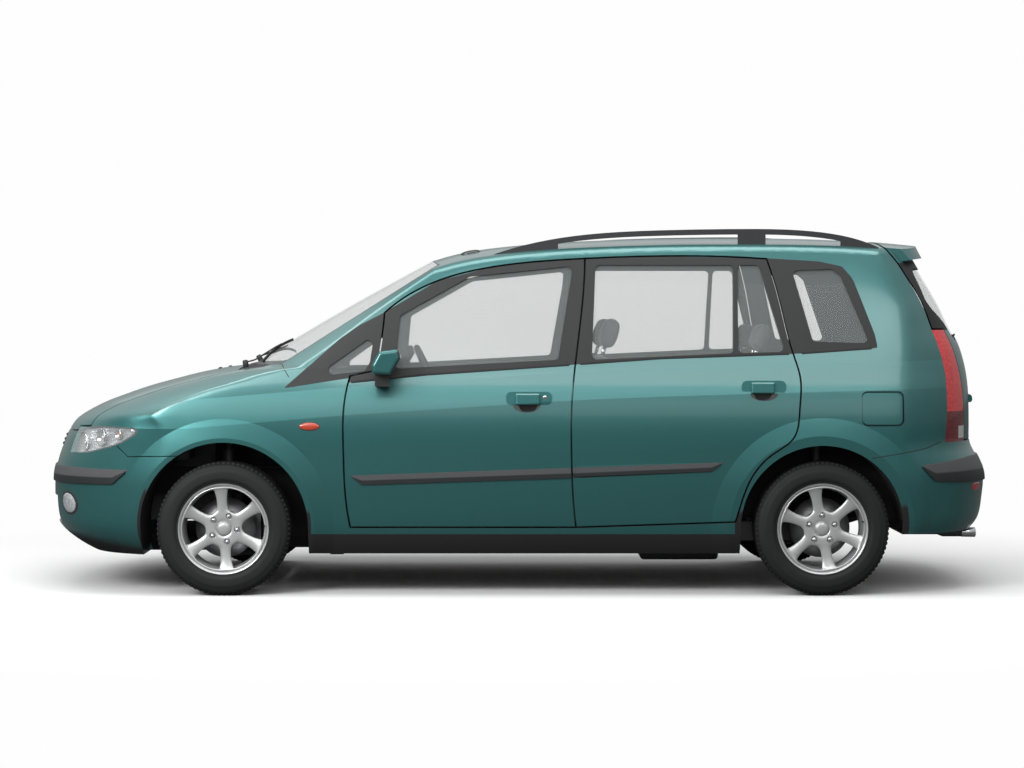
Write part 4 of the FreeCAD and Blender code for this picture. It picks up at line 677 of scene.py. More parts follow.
def copied(piece, name, matrix=Matrix.Identity(4)):
    twin = bpy.data.objects.new(name, piece.data.copy())
    bpy.context.scene.collection.objects.link(twin)
    return moved(twin, matrix)


print("the shell has", len(nodes["body_shell"].data.polygons), "faces")

# %% [markdown]
# ### Lathe and sweep
# Round things are turned from a profile, as on a lathe. Long things are a section carried along a path.

# %% Lathe and sweep
MIRROR = Matrix.Diagonal((1, -1, 1, 1))


def turned(name, profile, steps, material, axis="Y", closed=True):
    """A lathe shape: a profile of radius and place along the axis, turned right round."""
    verts, faces = [], []
    for i in range(steps):
        turn = 2 * math.pi * i / steps
        for radius, along in profile:
            a, b = radius * math.cos(turn), radius * math.sin(turn)
            verts.append({"Y": (a, along, b), "X": (along, a, b), "Z": (a, b, along)}[axis])
    count = len(profile)
    for i in range(steps):
        for j in range(count if closed else count - 1):
            a, b = i * count + j, i * count + (j + 1) % count
            c, d = ((i + 1) % steps) * count + (j + 1) % count, ((i + 1) % steps) * count + j
            faces.append((a, b, c, d))
    return sharp_smooth(outward(new_piece(name, verts, faces, material), 0.00001, 0.00001))


def upright(name, profile, steps, material):
    """A lathe shape about Z whose profile starts and ends on the axis."""
    return turned(name, profile, steps, material, axis="Z", closed=False)


def circle(radius, steps):
    return [(radius * math.cos(2 * math.pi * i / steps), radius * math.sin(2 * math.pi * i / steps))
            for i in range(steps)]


def swept(name, path, section, material, ups=None, capped=True):
    """A closed section of side and up offsets carried along a path."""
    verts, faces = [], []
    count = len(section)
    for i, point in enumerate(path):
        before, after = path[max(i - 1, 0)], path[min(i + 1, len(path) - 1)]
        along = (after - before).normalized()
        up = (ups[i] if ups else Vector((0, 0, 1)))
        side = along.cross(up).normalized()
        up = side.cross(along).normalized()
        verts += [point + side * a + up * b for a, b in section]
    for i in range(len(path) - 1):
        for j in range(count):
            a, b = i * count + j, i * count + (j + 1) % count
            faces.append((a, b, b + count, a + count))
    if capped:
        faces.append(list(range(count))[::-1])
        faces.append([(len(path) - 1) * count + j for j in range(count)])
    return outward(new_piece(name, verts, faces, material))


print("a circle of 4 points:", [(round(a, 3), round(b, 3)) for a, b in circle(1, 4)])

# %% [markdown]
# ### Where a piece lies and where it belongs
# Most trim lies on the body's skin, which curves in every direction. Its place is known from the side view, so a
# ray goes from outside straight in, and where it meets the CAD mesh is the place on the skin. A tree of triangles
# (a BVH) makes this quick.


# %% Trees, bodies and slots
def tree_of(*names):
    """A tree of the faces of one or more nodes."""
    verts, faces = [], []
    for name in names:
        mesh = nodes[name].data
        base = len(verts)
        verts += [v.co.copy() for v in mesh.vertices]
        faces += [[base + i for i in polygon.vertices] for polygon in mesh.polygons]
    return BVHTree.FromPolygons(verts, faces)


def settle(piece, body, slot, *replaced):
    """Tell the frame where a finished piece belongs."""
    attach(piece, body)
    for node in replaced:
        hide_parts(node)
    return piece


def towards(direction):
    """The turn that brings the Z axis to a direction."""
    return Vector((0, 0, 1)).rotation_difference(direction).to_matrix().to_4x4()


print("a turn of Z towards X:", [round(v) for v in towards(Vector((1, 0, 0))) @ Vector((0, 0, 1))])

# %% [markdown]
# ## Alloy wheels
# The rim is cast: six broad spokes run from the hub into the rim with round windows between them. A cage of a few
# quads per spoke with a Subdivision Surface gives these flowing corners by itself. Five pits for the nuts are cut
# into the hub with a Boolean, and the barrel of the rim is turned from its profile, as on a lathe.

# %% Wheel finishes
alloy_finish = Finish("silver_alloy", (0.58, 0.59, 0.59), 0.34, 0.6, Coat_Weight=0.3)
alloy_grain = alloy_finish.noise(900)
alloy_finish.rough(alloy_grain, 0.27, 0.38)
alloy_finish.colour(alloy_finish.mix(alloy_finish.noise(14), (0.55, 0.56, 0.56), (0.63, 0.64, 0.64)))
alloy_finish.bump(alloy_grain, 0.00005, 0.3)
alloy = alloy_finish.material
dark_metal = grained("dark_metal", (0.03, 0.03, 0.032), 0.5, 200, 0.0002, metallic=0.7)
chrome_finish = Finish("plated_metal", (0.72, 0.73, 0.74), 0.12, 1.0)
chrome_finish.rough(chrome_finish.noise(40), 0.08, 0.16)
chrome = chrome_finish.material
disc_finish = Finish("brake_disc", (0.22, 0.22, 0.225), 0.42, 0.9)
disc_finish.rough(disc_finish.noise(300, 2.0, 0.6), 0.35, 0.5)
brake_steel = disc_finish.material

SPOKES = 6
NUTS, NUT_CIRCLE = 5, 0.0571
RINGS = (  # radius, half width of a spoke in degrees, place along the axle
    (0.030, 15.0, -0.0665), (0.060, 15.0, -0.0665), (0.080, 19.5, -0.0675), (0.104, 13.2, -0.0690),
    (0.138, 10.4, -0.0715), (0.162, 11.2, -0.0765), (0.1765, 11.5, -0.0815), (0.1860, 11.5, -0.0845))
print("wheel finishes:", alloy.name, chrome.name, brake_steel.name, dark_metal.name)

# %% [markdown]
# ### The spoked face
# The face is drawn as rings round the axle. Each ring gives its spokes' half width in degrees, and the windows stay
# open between them.


# %% Spoked face
def nut_places(nut_turn):
    """Where the nuts sit round the hub."""
    turns = [math.radians(nut_turn + 360 / NUTS * i) for i in range(NUTS)]
    return [Matrix.Translation((NUT_CIRCLE * math.cos(t), 0, NUT_CIRCLE * math.sin(t))) for t in turns]


def wheel_face(spoke_turn, nut_turn):
    """The cage of the spokes, smoothed, with a pit for each nut."""
    outer = len(RINGS) - 2
    verts, faces, index = [], [], {}

    def point(ring, turn, key):
        if key not in index:
            radius, _, y = RINGS[ring]
            index[key] = len(verts)
            angle = math.radians(turn + spoke_turn)
            verts.append((radius * math.cos(angle), y, radius * math.sin(angle)))
        return index[key]

    def edge(ring, spoke, side):
        return point(ring, 360 / SPOKES * spoke + side * RINGS[ring][1], (ring, spoke % SPOKES, side))

    def middle(ring, spoke):
        return point(ring, 360 / SPOKES * (spoke + 0.5), (ring, spoke % SPOKES, "mid"))

    for spoke in range(SPOKES):
        following = (spoke + 1) % SPOKES
        for ring in range(len(RINGS) - 1):
            faces.append((edge(ring, spoke, -1), edge(ring, spoke, 1), edge(ring + 1, spoke, 1),
                          edge(ring + 1, spoke, -1)))
        for ring in (0, 1):
            faces.append((edge(ring, spoke, 1), edge(ring, following, -1), edge(ring + 1, following, -1),
                          edge(ring + 1, spoke, 1)))
        faces.append((edge(outer, spoke, 1), middle(outer, spoke), middle(outer + 1, spoke),
                      edge(outer + 1, spoke, 1)))
        faces.append((middle(outer, spoke), edge(outer, following, -1), edge(outer + 1, following, -1),
                      middle(outer + 1, spoke)))
    face = new_piece("wheel_face", verts, faces, alloy)
    depth = face.modifiers.new("depth", "SOLIDIFY")
    depth.thickness, depth.offset = 0.020, -1
    smooth = face.modifiers.new("smooth", "SUBSURF")
    smooth.levels = smooth.render_levels = 3
    outward(face)
    if sum(p.normal.y for p in face.data.polygons) > 0:
        face.data.flip_normals()
    flat_copy(face)
    pit = [(0.0, -0.1), (0.0148, -0.1), (0.0135, -0.058), (0.0, -0.058)]
    pits = joined_piece("pits", [moved(turned("pit", pit, 24, alloy, closed=False), at)
                                 for at in nut_places(nut_turn)])
    cut = face.modifiers.new("pits", "BOOLEAN")
    cut.object, cut.operation, cut.solver = pits, "DIFFERENCE", "EXACT"
    flat_copy(face)
    bpy.data.objects.remove(pits)
    return sharp_smooth(face, 50)


print("spokes:", SPOKES, "nuts:", NUTS)

# %% [markdown]
# ### The whole wheel
# It is built at the middle of the world with its face towards -Y, and copied to the four hubs later. The drawing
# of the rim is a little smaller than the wheel in the photo, so the finished wheel is scaled up by RIM_SCALE.

# %% Whole wheel
RIM_SCALE = 1.04
RIM = [  # radius and place along the axle
    (0.1855, -0.0805), (0.1885, -0.0868), (0.1935, -0.0892), (0.1985, -0.0892), (0.2005, -0.0868), (0.1995, -0.0835),
    (0.1935, -0.0800), (0.1905, -0.0690), (0.1830, -0.0500), (0.1765, -0.0200), (0.1765, 0.0300), (0.1870, 0.0700),
    (0.1965, 0.0830), (0.1985, 0.0870), (0.1955, 0.0890), (0.1880, 0.0840), (0.1790, 0.0680), (0.1690, 0.0280),
    (0.1690, -0.0220), (0.1750, -0.0520), (0.1820, -0.0700)]


def hexagon(name, radius, low, high, material):
    corners = circle(radius, 6)
    verts = [(a, low, b) for a, b in corners] + [(a, high, b) for a, b in corners]
    faces = [list(range(6)), list(range(11, 5, -1))]
    faces += [(i, i + 6, (i + 1) % 6 + 6, (i + 1) % 6) for i in range(6)]
    nut = outward(new_piece(name, verts, faces, material, smooth=False))
    bevel = nut.modifiers.new("edge", "BEVEL")
    bevel.width, bevel.segments = radius * 0.18, 2
    return sharp_smooth(flat_copy(nut), 45)


def whole_wheel(name, spoke_turn, nut_turn):
    rim = turned("rim", RIM, 96, alloy)
    cap = turned("cap", [(0.0, -0.0730), (0.014, -0.0726), (0.0225, -0.0712), (0.0262, -0.0690), (0.0275, -0.0650),
                         (0.0310, -0.0640), (0.0310, -0.0560), (0.0, -0.0560)], 48, alloy, closed=False)
    disc = turned("disc", [(0.034, 0.008), (0.074, 0.008), (0.078, 0.012), (0.129, 0.012), (0.129, 0.0195),
                           (0.122, 0.0195), (0.122, 0.0245), (0.129, 0.0245), (0.129, 0.032), (0.078, 0.032),
                           (0.036, 0.030)], 72, brake_steel)
    hat = turned("hat", [(0.026, -0.052), (0.066, -0.052), (0.072, -0.046), (0.074, 0.010), (0.034, 0.010),
                         (0.026, 0.040)], 48, dark_metal)
    pieces = [rim, wheel_face(spoke_turn, nut_turn), cap, disc, hat]
    for at in nut_places(nut_turn):
        top = [(0.0, -0.0758), (0.004, -0.0752), (0.0074, -0.0730), (0.0082, -0.0700), (0.0, -0.0700)]
        pieces += [moved(hexagon("nut", 0.0098, -0.072, -0.056, chrome), at),
                   moved(turned("nut_top", top, 20, chrome, closed=False), at)]
    stem = turned("stem", [(0.0, -0.094), (0.003, -0.094), (0.0036, -0.088), (0.0042, -0.070), (0.0, -0.070)], 16,
                  dark_metal, closed=False)
    angle = math.radians(spoke_turn + 30 + 240)  # the valve sits in the middle of a window
    pieces.append(moved(stem, Matrix.Translation((0.176 * math.cos(angle), 0.004, 0.176 * math.sin(angle)))))
    wheel = joined_piece(name, pieces)
    return moved(wheel, Matrix.Diagonal((RIM_SCALE, 1.0, RIM_SCALE, 1.0)))


wheel_masters = {"front": whole_wheel("front_wheel_master", 94, 68),
                 "rear": whole_wheel("rear_wheel_master", 100, 90)}
print("wheel:", len(wheel_masters["front"].data.polygons), "faces")

# %% [markdown]
# ## Tyres
# The carcass is turned from a profile with four grooves round the tread. The shoulder blocks repeat all the way
# round, which is a job for Geometry Nodes: points on a circle carry one small block each.

# %% Rubber of the tyres
tyre_finish = Finish("tyre_rubber", (0.008, 0.0085, 0.0088), 0.7)
tyre_grain = tyre_finish.noise(380, 3.0, 0.6)
tyre_finish.rough(tyre_grain, 0.62, 0.82)
tyre_finish.colour(tyre_finish.mix(tyre_finish.noise(30), (0.0035, 0.0042, 0.0044), (0.0075, 0.008, 0.0085)))
tyre_finish.bump(tyre_grain, 0.0003, 0.4)
tyre_rubber = tyre_finish.material
print("tyre finish:", tyre_rubber.name)

# %% [markdown]
# ### A ring of blocks
# The node group turns a point's index into an angle: a full turn divided by the number of blocks, times the index.

# %% Ring of blocks
block_tree = bpy.data.node_groups.new("ring_of_blocks", "GeometryNodeTree")
interface = block_tree.interface
interface.new_socket("Geometry", in_out="INPUT", socket_type="NodeSocketGeometry")
count_socket = interface.new_socket("Count", in_out="INPUT", socket_type="NodeSocketInt")
radius_socket = interface.new_socket("Radius", in_out="INPUT", socket_type="NodeSocketFloat")
finish_socket = interface.new_socket("Finish", in_out="INPUT", socket_type="NodeSocketMaterial")
interface.new_socket("Geometry", in_out="OUTPUT", socket_type="NodeSocketGeometry")


def tree_node(kind, **settings):
    made = block_tree.nodes.new(kind)
    for key, value in settings.items():
        setattr(made, key, value)
    return made


group_in, group_out = tree_node("NodeGroupInput"), tree_node("NodeGroupOutput")
ring = tree_node("GeometryNodeMeshCircle")
angle_step = tree_node("ShaderNodeMath", operation="DIVIDE")
angle_step.inputs[0].default_value = 2 * math.pi
turn_now = tree_node("ShaderNodeMath", operation="MULTIPLY")
spin = tree_node("ShaderNodeCombineXYZ")
counter = tree_node("GeometryNodeInputIndex")
place_blocks = tree_node("GeometryNodeInstanceOnPoints")
real = tree_node("GeometryNodeRealizeInstances")
paint_blocks = tree_node("GeometryNodeSetMaterial")
for a, b in ((group_in.outputs["Count"], ring.inputs["Vertices"]),
             (group_in.outputs["Radius"], ring.inputs["Radius"]),
             (group_in.outputs["Count"], angle_step.inputs[1]),
             (angle_step.outputs[0], turn_now.inputs[0]),
             (counter.outputs[0], turn_now.inputs[1]),
             (turn_now.outputs[0], spin.inputs["Z"]),
             (ring.outputs[0], place_blocks.inputs["Points"]),
             (group_in.outputs["Geometry"], place_blocks.inputs["Instance"]),
             (spin.outputs[0], place_blocks.inputs["Rotation"]),
             (place_blocks.outputs[0], real.inputs[0]),
             (real.outputs[0], paint_blocks.inputs[0]),
             (group_in.outputs["Finish"], paint_blocks.inputs["Material"]),
             (paint_blocks.outputs[0], group_out.inputs[0])):
    block_tree.links.new(a, b)


def ring_of(name, block, count, radius, material):
    """Copies of a block on a circle about Z; the block's own X points outwards."""
    step = block.modifiers.new("ring", "NODES")
    step.node_group = block_tree
    step[count_socket.identifier] = count
    step[radius_socket.identifier] = radius
    step[finish_socket.identifier] = material
    flat_copy(block)
    block.name = name
    return block


print("node group:", block_tree.name, "with", len(block_tree.nodes), "nodes")

# %% [markdown]
# ### The tyre
# The inner half of the profile is the outer half mirrored. Blocks and ribs sit on both shoulders.

# %% Tyre
CARCASS = [  # radius and place along the axle, from the bead to the tread
    (0.1985, -0.0845), (0.2000, -0.0885), (0.2085, -0.0912), (0.2110, -0.0905), (0.2125, -0.0925), (0.2150, -0.0958),
    (0.2170, -0.0960), (0.2180, -0.0972), (0.2300, -0.0980), (0.2500, -0.0980), (0.2620, -0.0970), (0.2640, -0.0955),
    (0.2680, -0.0950), (0.2780, -0.0918), (0.2860, -0.0868), (0.2905, -0.0800)]
TREAD_EDGE = [(0.2930, -0.0720), (0.2955, -0.0700)]
TREAD_RADIUS, TREAD_FALL = 0.2980, 0.0024  # radius in the middle, and how much lower it is at the edge
GROOVE_DEPTH = 0.0075
GROOVES = [(-0.052, 0.0045), (-0.019, 0.0050), (0.019, 0.0050), (0.052, 0.0045)]  # place and half width
SHOULDER_BLOCKS = 84


def tyre_profile():
    crown = list(TREAD_EDGE)
    for y, half in GROOVES:
        top = TREAD_RADIUS - TREAD_FALL * (abs(y) / 0.07)**2
        bottom = top - GROOVE_DEPTH
        crown += [(top, y - half), (bottom, y - half * 0.7), (bottom, y + half * 0.7), (top, y + half)]
    crown += [(r, -y) for r, y in TREAD_EDGE[::-1]]
    return CARCASS + crown + [(r, -y) for r, y in CARCASS[::-1]]


def block_shape(width, length, depth):
    """A small block whose outer face is a little smaller than its foot."""
    verts = []
    for x in (-depth, 0.0):
        shrink = 1.0 if x else 0.9
        for y, z in ((-1, -1), (1, -1), (1, 1), (-1, 1)):
            verts.append((x, y * width / 2 * shrink, z * length / 2 * shrink))
    faces = [(0, 3, 2, 1), (4, 5, 6, 7), (0, 1, 5, 4), (1, 2, 6, 5), (2, 3, 7, 6), (3, 0, 4, 7)]
    return outward(new_piece("block", verts, faces, tyre_rubber, smooth=False))


def whole_tyre(name):
    pieces = [turned("carcass", tyre_profile(), 120, tyre_rubber)]
    for side in (-1, 1):
        for label, size, radius, y in (("shoulder", (0.0135, 0.0245, 0.006), 0.2972, 0.0665),
                                       ("rib", (0.0085, 0.012, 0.004), 0.2924, 0.0795)):
            blocks = ring_of(label, block_shape(*size), SHOULDER_BLOCKS, radius, tyre_rubber)
            turn = Matrix.Rotation(math.pi / 2, 4, "X")
            pieces.append(moved(blocks, Matrix.Translation((0, side * y, 0)) @ turn))
    return joined_piece(name, pieces)


tyre_master = whole_tyre("tyre_master")
for row in ("front", "rear"):
    for side, sign in SIDES.items():
        body = row + "_wheel_" + side
        at = Matrix.Translation(Vector(joints[body]["pos_m"])) @ (MIRROR if sign > 0 else Matrix.Identity(4))
        settle(copied(wheel_masters[row], "alloy_" + row + "_" + side, at), body, "alloy", body)
        settle(copied(tyre_master, "tyre_" + row + "_" + side, at), body, "tyre", row + "_tyre_" + side)
for master in (*wheel_masters.values(), tyre_master):
    bpy.data.objects.remove(master)
print("tyres and wheels are on their hubs")

# %% [markdown]
# ## Trim that follows the skin
# A view says where a ray starts and which way it goes: from the side, the front, the back or the top. Points on a
# line or an outline are drawn in that view.

# %% Places on the skin
VIEWS = {"left": lambda u, v: (Vector((u, -3, v)), Vector((0, 1, 0))),
         "right": lambda u, v: (Vector((u, 3, v)), Vector((0, -1, 0))),
         "front": lambda u, v: (Vector((-4, u, v)), Vector((1, 0, 0))),
         "rear": lambda u, v: (Vector((4, u, v)), Vector((-1, 0, 0))),
         "top": lambda u, v: (Vector((u, v, 4)), Vector((0, 0, -1)))}


def skin(tree, view, u, v, needed=True):
    """The place on the skin and its outward normal; None where there is none and none is needed."""
    start, along = VIEWS[view](u, v)
    place, normal, _, _ = tree.ray_cast(start, along)
    if place is None:
        if needed:
            raise ValueError("no skin in the view %s at %.3f, %.3f" % (view, u, v))
        return None
    return place, (normal if normal.dot(along) < 0 else -normal)


def spread(points, step, closed=False):
    """Points spaced evenly along a line of straight pieces."""
    line = [Vector(p) for p in points] + ([Vector(points[0])] if closed else [])
    out = []
    for a, b in zip(line, line[1:]):
        count = max(1, round((b - a).length / step))
        out += [a.lerp(b, i / count) for i in range(count)]
    return out if closed else out + [line[-1]]


def oval(centre, half, steps=40, power=2.0):
    """An ellipse; a power above 2 makes its corners squarer."""
    points = []
    for c, s in circle(1, steps):
        points.append((centre[0] + half[0] * math.copysign(abs(c)**(2 / power), c),
                       centre[1] + half[1] * math.copysign(abs(s)**(2 / power), s)))
    return points


print("views:", *VIEWS)

# %% [markdown]
# ### Pads and strips
# A pad is a closed piece whose outline is drawn in a view and laid on the skin; a strip is a section swept along a
# line drawn in a view.


# %% Pads and strips
def pad(name, tree, view, outline, rise, material, edge=0.0004, sunk=0.001, rings=6, power=0.5):
    """A closed piece on the skin: its edge stands a little proud and its middle rises as a dome."""
    middle = sum((Vector(p) for p in outline), Vector((0, 0))) / len(outline)
    fitted = []
    for p in outline:  # an outline that runs off the skin is drawn in until it lies on it
        share = 1.0
        while skin(tree, view, *middle.lerp(Vector(p), share), False) is None and share > 0.5:
            share -= 0.01
        fitted.append(middle.lerp(Vector(p), share))
    outline = fitted
    verts, faces, count = [], [], len(outline)
    for i in range(rings + 1):
        share = i / rings
        for p in outline:
            u, v = middle.lerp(Vector(p), share)
            place, normal = skin(tree, view, u, v)
            verts.append(place + normal * (edge + rise * (1 - share**2)**power))
    for p in outline:
        place, normal = skin(tree, view, *p)
        verts.append(place - normal * sunk)
    for i in range(rings + 1):
        for j in range(count):
            a, b = i * count + j, i * count + (j + 1) % count
            faces.append((a, b, b + count, a + count))
    faces.append([(rings + 1) * count + j for j in range(count)])
    return sharp_smooth(outward(new_piece(name, verts, faces, material)))


def strip(name, tree, view, line, section, material, step=0.02):
    """A section of side and up offsets swept along a line on the skin; up is the skin's normal."""
    places = [found for found in (skin(tree, view, u, v, False) for u, v in spread(line, step)) if found]
    if len(places) < 2:
        raise ValueError("no skin under the strip " + name)
    return sharp_smooth(swept(name, [p for p, _ in places], section, material, ups=[n for _, n in places]))


def rounded(width, height, corner=0.4):
    """A section with soft corners, standing on the line."""
    w, h, c = width / 2, height, min(width, height) * corner
    return [(-w, -0.001), (-w, h - c), (-w + c, h), (w - c, h), (w, h - c), (w, -0.001)]


side_tree = tree_of("body_shell", "wings", "front_bumper", "rear_bumper", "front_door_left", "front_door_right",
                    "rear_door_left", "rear_door_right", "bonnet", "fixed_glass")
door_trees = {side: {"front": tree_of("front_door_" + side, "front_door_glass_" + side),
                     "rear": tree_of("rear_door_" + side, "rear_door_glass_" + side)} for side in SIDES}
front_tree = tree_of("front_bumper", "grille", "bonnet", "head_lamps")
rear_tree = tree_of("tailgate", "tailgate_glass", "rear_bumper")
top_tree = tree_of("bonnet", "cowl_panel", "fixed_glass", "body_shell", "wings")
print("skin beside the driver:", [round(v, 3) for v in skin(side_tree, "left", 0.0, 0.6)[0]])

# %% [markdown]
# ## Lines along the windows
# Each door has a rubber strip where the glass goes down into it, and the quarter window has a bead. The strips
# ride on the doors. Two flat dark lines draw the joint at the front pillar's foot and the one over the rear bumper.

# %% Window strips
BELT_LIFT = 0.002  # the strips lie this much above the drawn line
BELTS = {"front": [(-0.770, 0.949), (-0.415, 0.985), (0.222, 1.028)],
         "rear": [(0.272, 1.032), (0.628, 1.057), (1.205, 1.077)],
         "quarter": [(1.262, 1.079), (1.575, 1.101)]}
BELTS = {row: [(x, z + BELT_LIFT) for x, z in line] for row, line in BELTS.items()}
BODY_LINES = (  # name, line, width and height of the section, step
    ("belt_strip_quarter_", BELTS["quarter"], (0.010, 0.003), 0.02),
    ("pillar_joint_", [(-1.066, 1.031), (-1.028, 0.974)], (0.0035, 0.0006), 0.01),
    ("bumper_joint_", [(1.568, 0.614), (1.733, 0.641), (1.822, 0.659), (1.886, 0.684)], (0.0035, 0.0006), 0.015))
for side in SIDES:
    for row in ("front", "rear"):
        line = strip("belt_strip_%s_%s" % (row, side), door_trees[side][row], side, BELTS[row],
                     rounded(0.011, 0.0035), rubber)
        settle(line, row + "_door_" + side, "dark_trim")
    for name, line, section, step in BODY_LINES:
        settle(strip(name + side, side_tree, side, line, rounded(*section), rubber, step=step), "body", "dark_trim")
print("strips and joint lines:", len(SIDES) * (2 + len(BODY_LINES)))

# %% [markdown]
# ## Small lamps, locks and caps
# The side repeaters are oval domes of orange plastic. The keyhole is a bright disc with a slot. A small black
# cap sits on the roof above the driver, and the foot of an aerial at the roof's rear.

# %% Small lamps and locks
orange_finish = Finish("orange_lens", (0.56, 0.060, 0.028), 0.18, Coat_Weight=0.8)
orange_ribs = orange_finish.waves(60, "X")
orange_finish.bump(orange_ribs, 0.0006, 0.5)
orange_finish.colour(orange_finish.mix(orange_ribs, (0.42, 0.030, 0.014), (0.66, 0.090, 0.045)))
orange_lens = orange_finish.material
REPEATER, KEYHOLE = (-0.935, 0.756), (0.113, 0.884)
for side in SIDES:
    settle(pad("repeater_rim_" + side, side_tree, side, oval(REPEATER, (0.0475, 0.0200)), 0.0020, dark_trim),
           "body", "dark_trim")
    settle(pad("repeater_" + side, side_tree, side, oval(REPEATER, (0.0440, 0.0168)), 0.0055, orange_lens,
               edge=0.001), "body", "lamp_red")
    door = door_trees[side]["front"]
    settle(pad("keyhole_" + side, door, side, oval(KEYHOLE, (0.0085, 0.0085), 24), 0.0016, chrome, rings=3),
           "front_door_" + side, "steel")
    settle(pad("keyhole_slot_" + side, door, side, oval(KEYHOLE, (0.0012, 0.0045), 16), 0.0006, rubber,
               edge=0.0021, rings=2), "front_door_" + side, "dark_trim")
settle(pad("roof_cap", top_tree, "top", oval((-0.2235, -0.35), (0.048, 0.030)), 0.012, gloss_black),
       "body", "dark_trim")
settle(pad("aerial_foot", top_tree, "top", oval((1.56, 0.0), (0.040, 0.022)), 0.014, gloss_black),
       "body", "dark_trim")
print("side repeaters at", REPEATER, "- keyholes at", KEYHOLE)

# %% [markdown]
# ## Mirrors
# The CAD mirror is one shape. Its material turns black on the foot and on the rim round the glass, and a mirror
# glass is laid into the face that looks back.

# %% Mirrors
shell_finish = Finish("mirror_shell", PAINT, 0.30, PAINT_METAL, Coat_Weight=0.8, Coat_Roughness=0.12)
_, across, height = shell_finish.axes()
tailwards = shell_finish.axes("Normal")[0]
mirror_tone = flaked(shell_finish)[0]
foot = shell_finish.maths("MAXIMUM", shell_finish.step(shell_finish.maths("ABSOLUTE", across), 0.862, 0.858),
                          shell_finish.step(height, 0.992, 0.989))
foot = shell_finish.maths("MAXIMUM", foot, shell_finish.step(tailwards, 0.45, 0.6))
shell_finish.colour(shell_finish.mix(foot, mirror_tone, (0.018, 0.019, 0.020)))
shell_finish.rough(foot, 0.32, 0.6)
shell_finish.feed(shell_finish.shader.inputs["Metallic"], shell_finish.blend(foot, PAINT_METAL, 0.0))
mirror_face = Finish("mirror_face", (0.80, 0.82, 0.83), 0.03, 1.0)
mirror_face.bump(mirror_face.noise(2.0), 0.0002, 0.1)
for side, sign in SIDES.items():
    recoloured(nodes["mirror_" + side], shell_finish.material)
    low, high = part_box("mirror_" + side)
    outline = oval((sign * 0.918, 1.043), (0.048, 0.036), 40, 4.0)
    settle(pad("mirror_glass_" + side, tree_of("mirror_" + side), "rear", outline, 0.0008, mirror_face.material,
               power=1.0), "front_door_" + side, "steel")
print("mirrors from", [round(v, 3) for v in low], "to", [round(v, 3) for v in high])

# %% [markdown]
# ## Headlamps
# The CAD lamp stays as the clear cover. Inside it are a bright housing and three bowls: dipped beam, main beam and
# indicator. A bowl is turned from a parabola and looks level, ahead and outwards.

# %% Headlamp insides
lamp_tree = tree_of("head_lamps")
housing_finish = Finish("lamp_housing", (0.60, 0.62, 0.63), 0.28, 0.75)
housing_finish.rough(housing_finish.noise(30), 0.2, 0.34)
housing_ribs = housing_finish.waves(26, "Z")
housing_finish.bump(housing_ribs, 0.0012, 0.4)
bulb_glass = Finish("bulb_glass", (0.92, 0.93, 0.95), 0.08, Coat_Weight=0.6)
bulb_glass.rough(bulb_glass.noise(50), 0.05, 0.12)
amber_bulb = Finish("amber_bulb", (0.85, 0.33, 0.05), 0.15, Coat_Weight=0.6)
amber_bulb.rough(amber_bulb.noise(50), 0.1, 0.2)
LAMP_OUTLINE = [(-2.020, 0.628), (-2.006, 0.672), (-1.982, 0.722), (-1.962, 0.737), (-1.871, 0.746),
                (-1.735, 0.741), (-1.720, 0.735), (-1.728, 0.720), (-1.790, 0.683), (-1.832, 0.668), (-1.940, 0.640)]
BOWLS = ((-1.975, 0.683, 0.044, bulb_glass), (-1.880, 0.706, 0.036, bulb_glass),
         (-1.795, 0.717, 0.020, amber_bulb))  # X, Z, radius, bulb


def bowl(radius, depth, bulb):
    """A parabola with a small rim and a bulb in its middle."""
    line = [(radius * i / 10, depth * (i / 10)**2) for i in range(11)]
    line += [(radius + 0.003, depth + 0.001), (radius + 0.003, depth - 0.004)]
    line += [(radius * i / 10, depth * (i / 10)**2 - 0.003) for i in range(9, -1, -1)]
    cup = upright("cup", line, 40, chrome)
    glass = [(0.0, 0.0), (0.0055, 0.001), (0.006, depth * 0.5), (0.004, depth * 0.72), (0.0, depth * 0.78)]
    return joined_piece("bowl", [cup, upright("lamp", glass, 20, bulb.material)])


for side in SIDES:
    parts = [pad("housing", lamp_tree, side, spread(LAMP_OUTLINE, 0.012, closed=True), -0.020,
                 housing_finish.material, edge=-0.006, sunk=0.030, rings=8, power=0.35)]
    for x, z, radius, bulb in BOWLS:
        place, normal = skin(lamp_tree, side, x, z)
        aim = (normal + Vector((-0.5, 0, 0))).normalized()
        aim.z = 0
        at = Matrix.Translation(place - normal * (radius * 0.75)) @ towards(aim.normalized())
        parts.append(moved(bowl(radius, radius * 0.6, bulb), at))
    settle(joined_piece("head_lamp_insides_" + side, parts), "body", "lamp_clear")
print("headlamps have", len(BOWLS), "bowls each")

# %% [markdown]
# ## Tail lamps
# A red lens over reflectors: the colour changes with height in three parts, fine ribs run across, and a clear coat
# gives the gloss.

# %% Tail lamps
tail_finish = Finish("tail_lens", (0.62, 0.05, 0.055), 0.3, Coat_Weight=0.7, Coat_Roughness=0.02)
along, _, height = tail_finish.axes()
tail_wave = tail_finish.waves(55, "Z")
tail_cells = tail_finish.cells(70)
bright = tail_finish.mix(tail_cells, (0.86, 0.060, 0.064), (0.56, 0.022, 0.030))
deep = tail_finish.mix(tail_cells, (0.20, 0.010, 0.016), (0.10, 0.006, 0.010))
tone = tail_finish.mix(tail_finish.step(height, 0.820, 0.816), bright, deep)
clear_part = tail_finish.maths("MULTIPLY", tail_finish.step(height, 0.752, 0.749),
                               tail_finish.step(height, 0.694, 0.697))
clear_part = tail_finish.maths("MULTIPLY", clear_part, tail_finish.step(along, 1.985, 1.990))
tone = tail_finish.mix(clear_part, tone, (0.62, 0.60, 0.60))
rim = tail_finish.step(height, 0.664, 0.661)
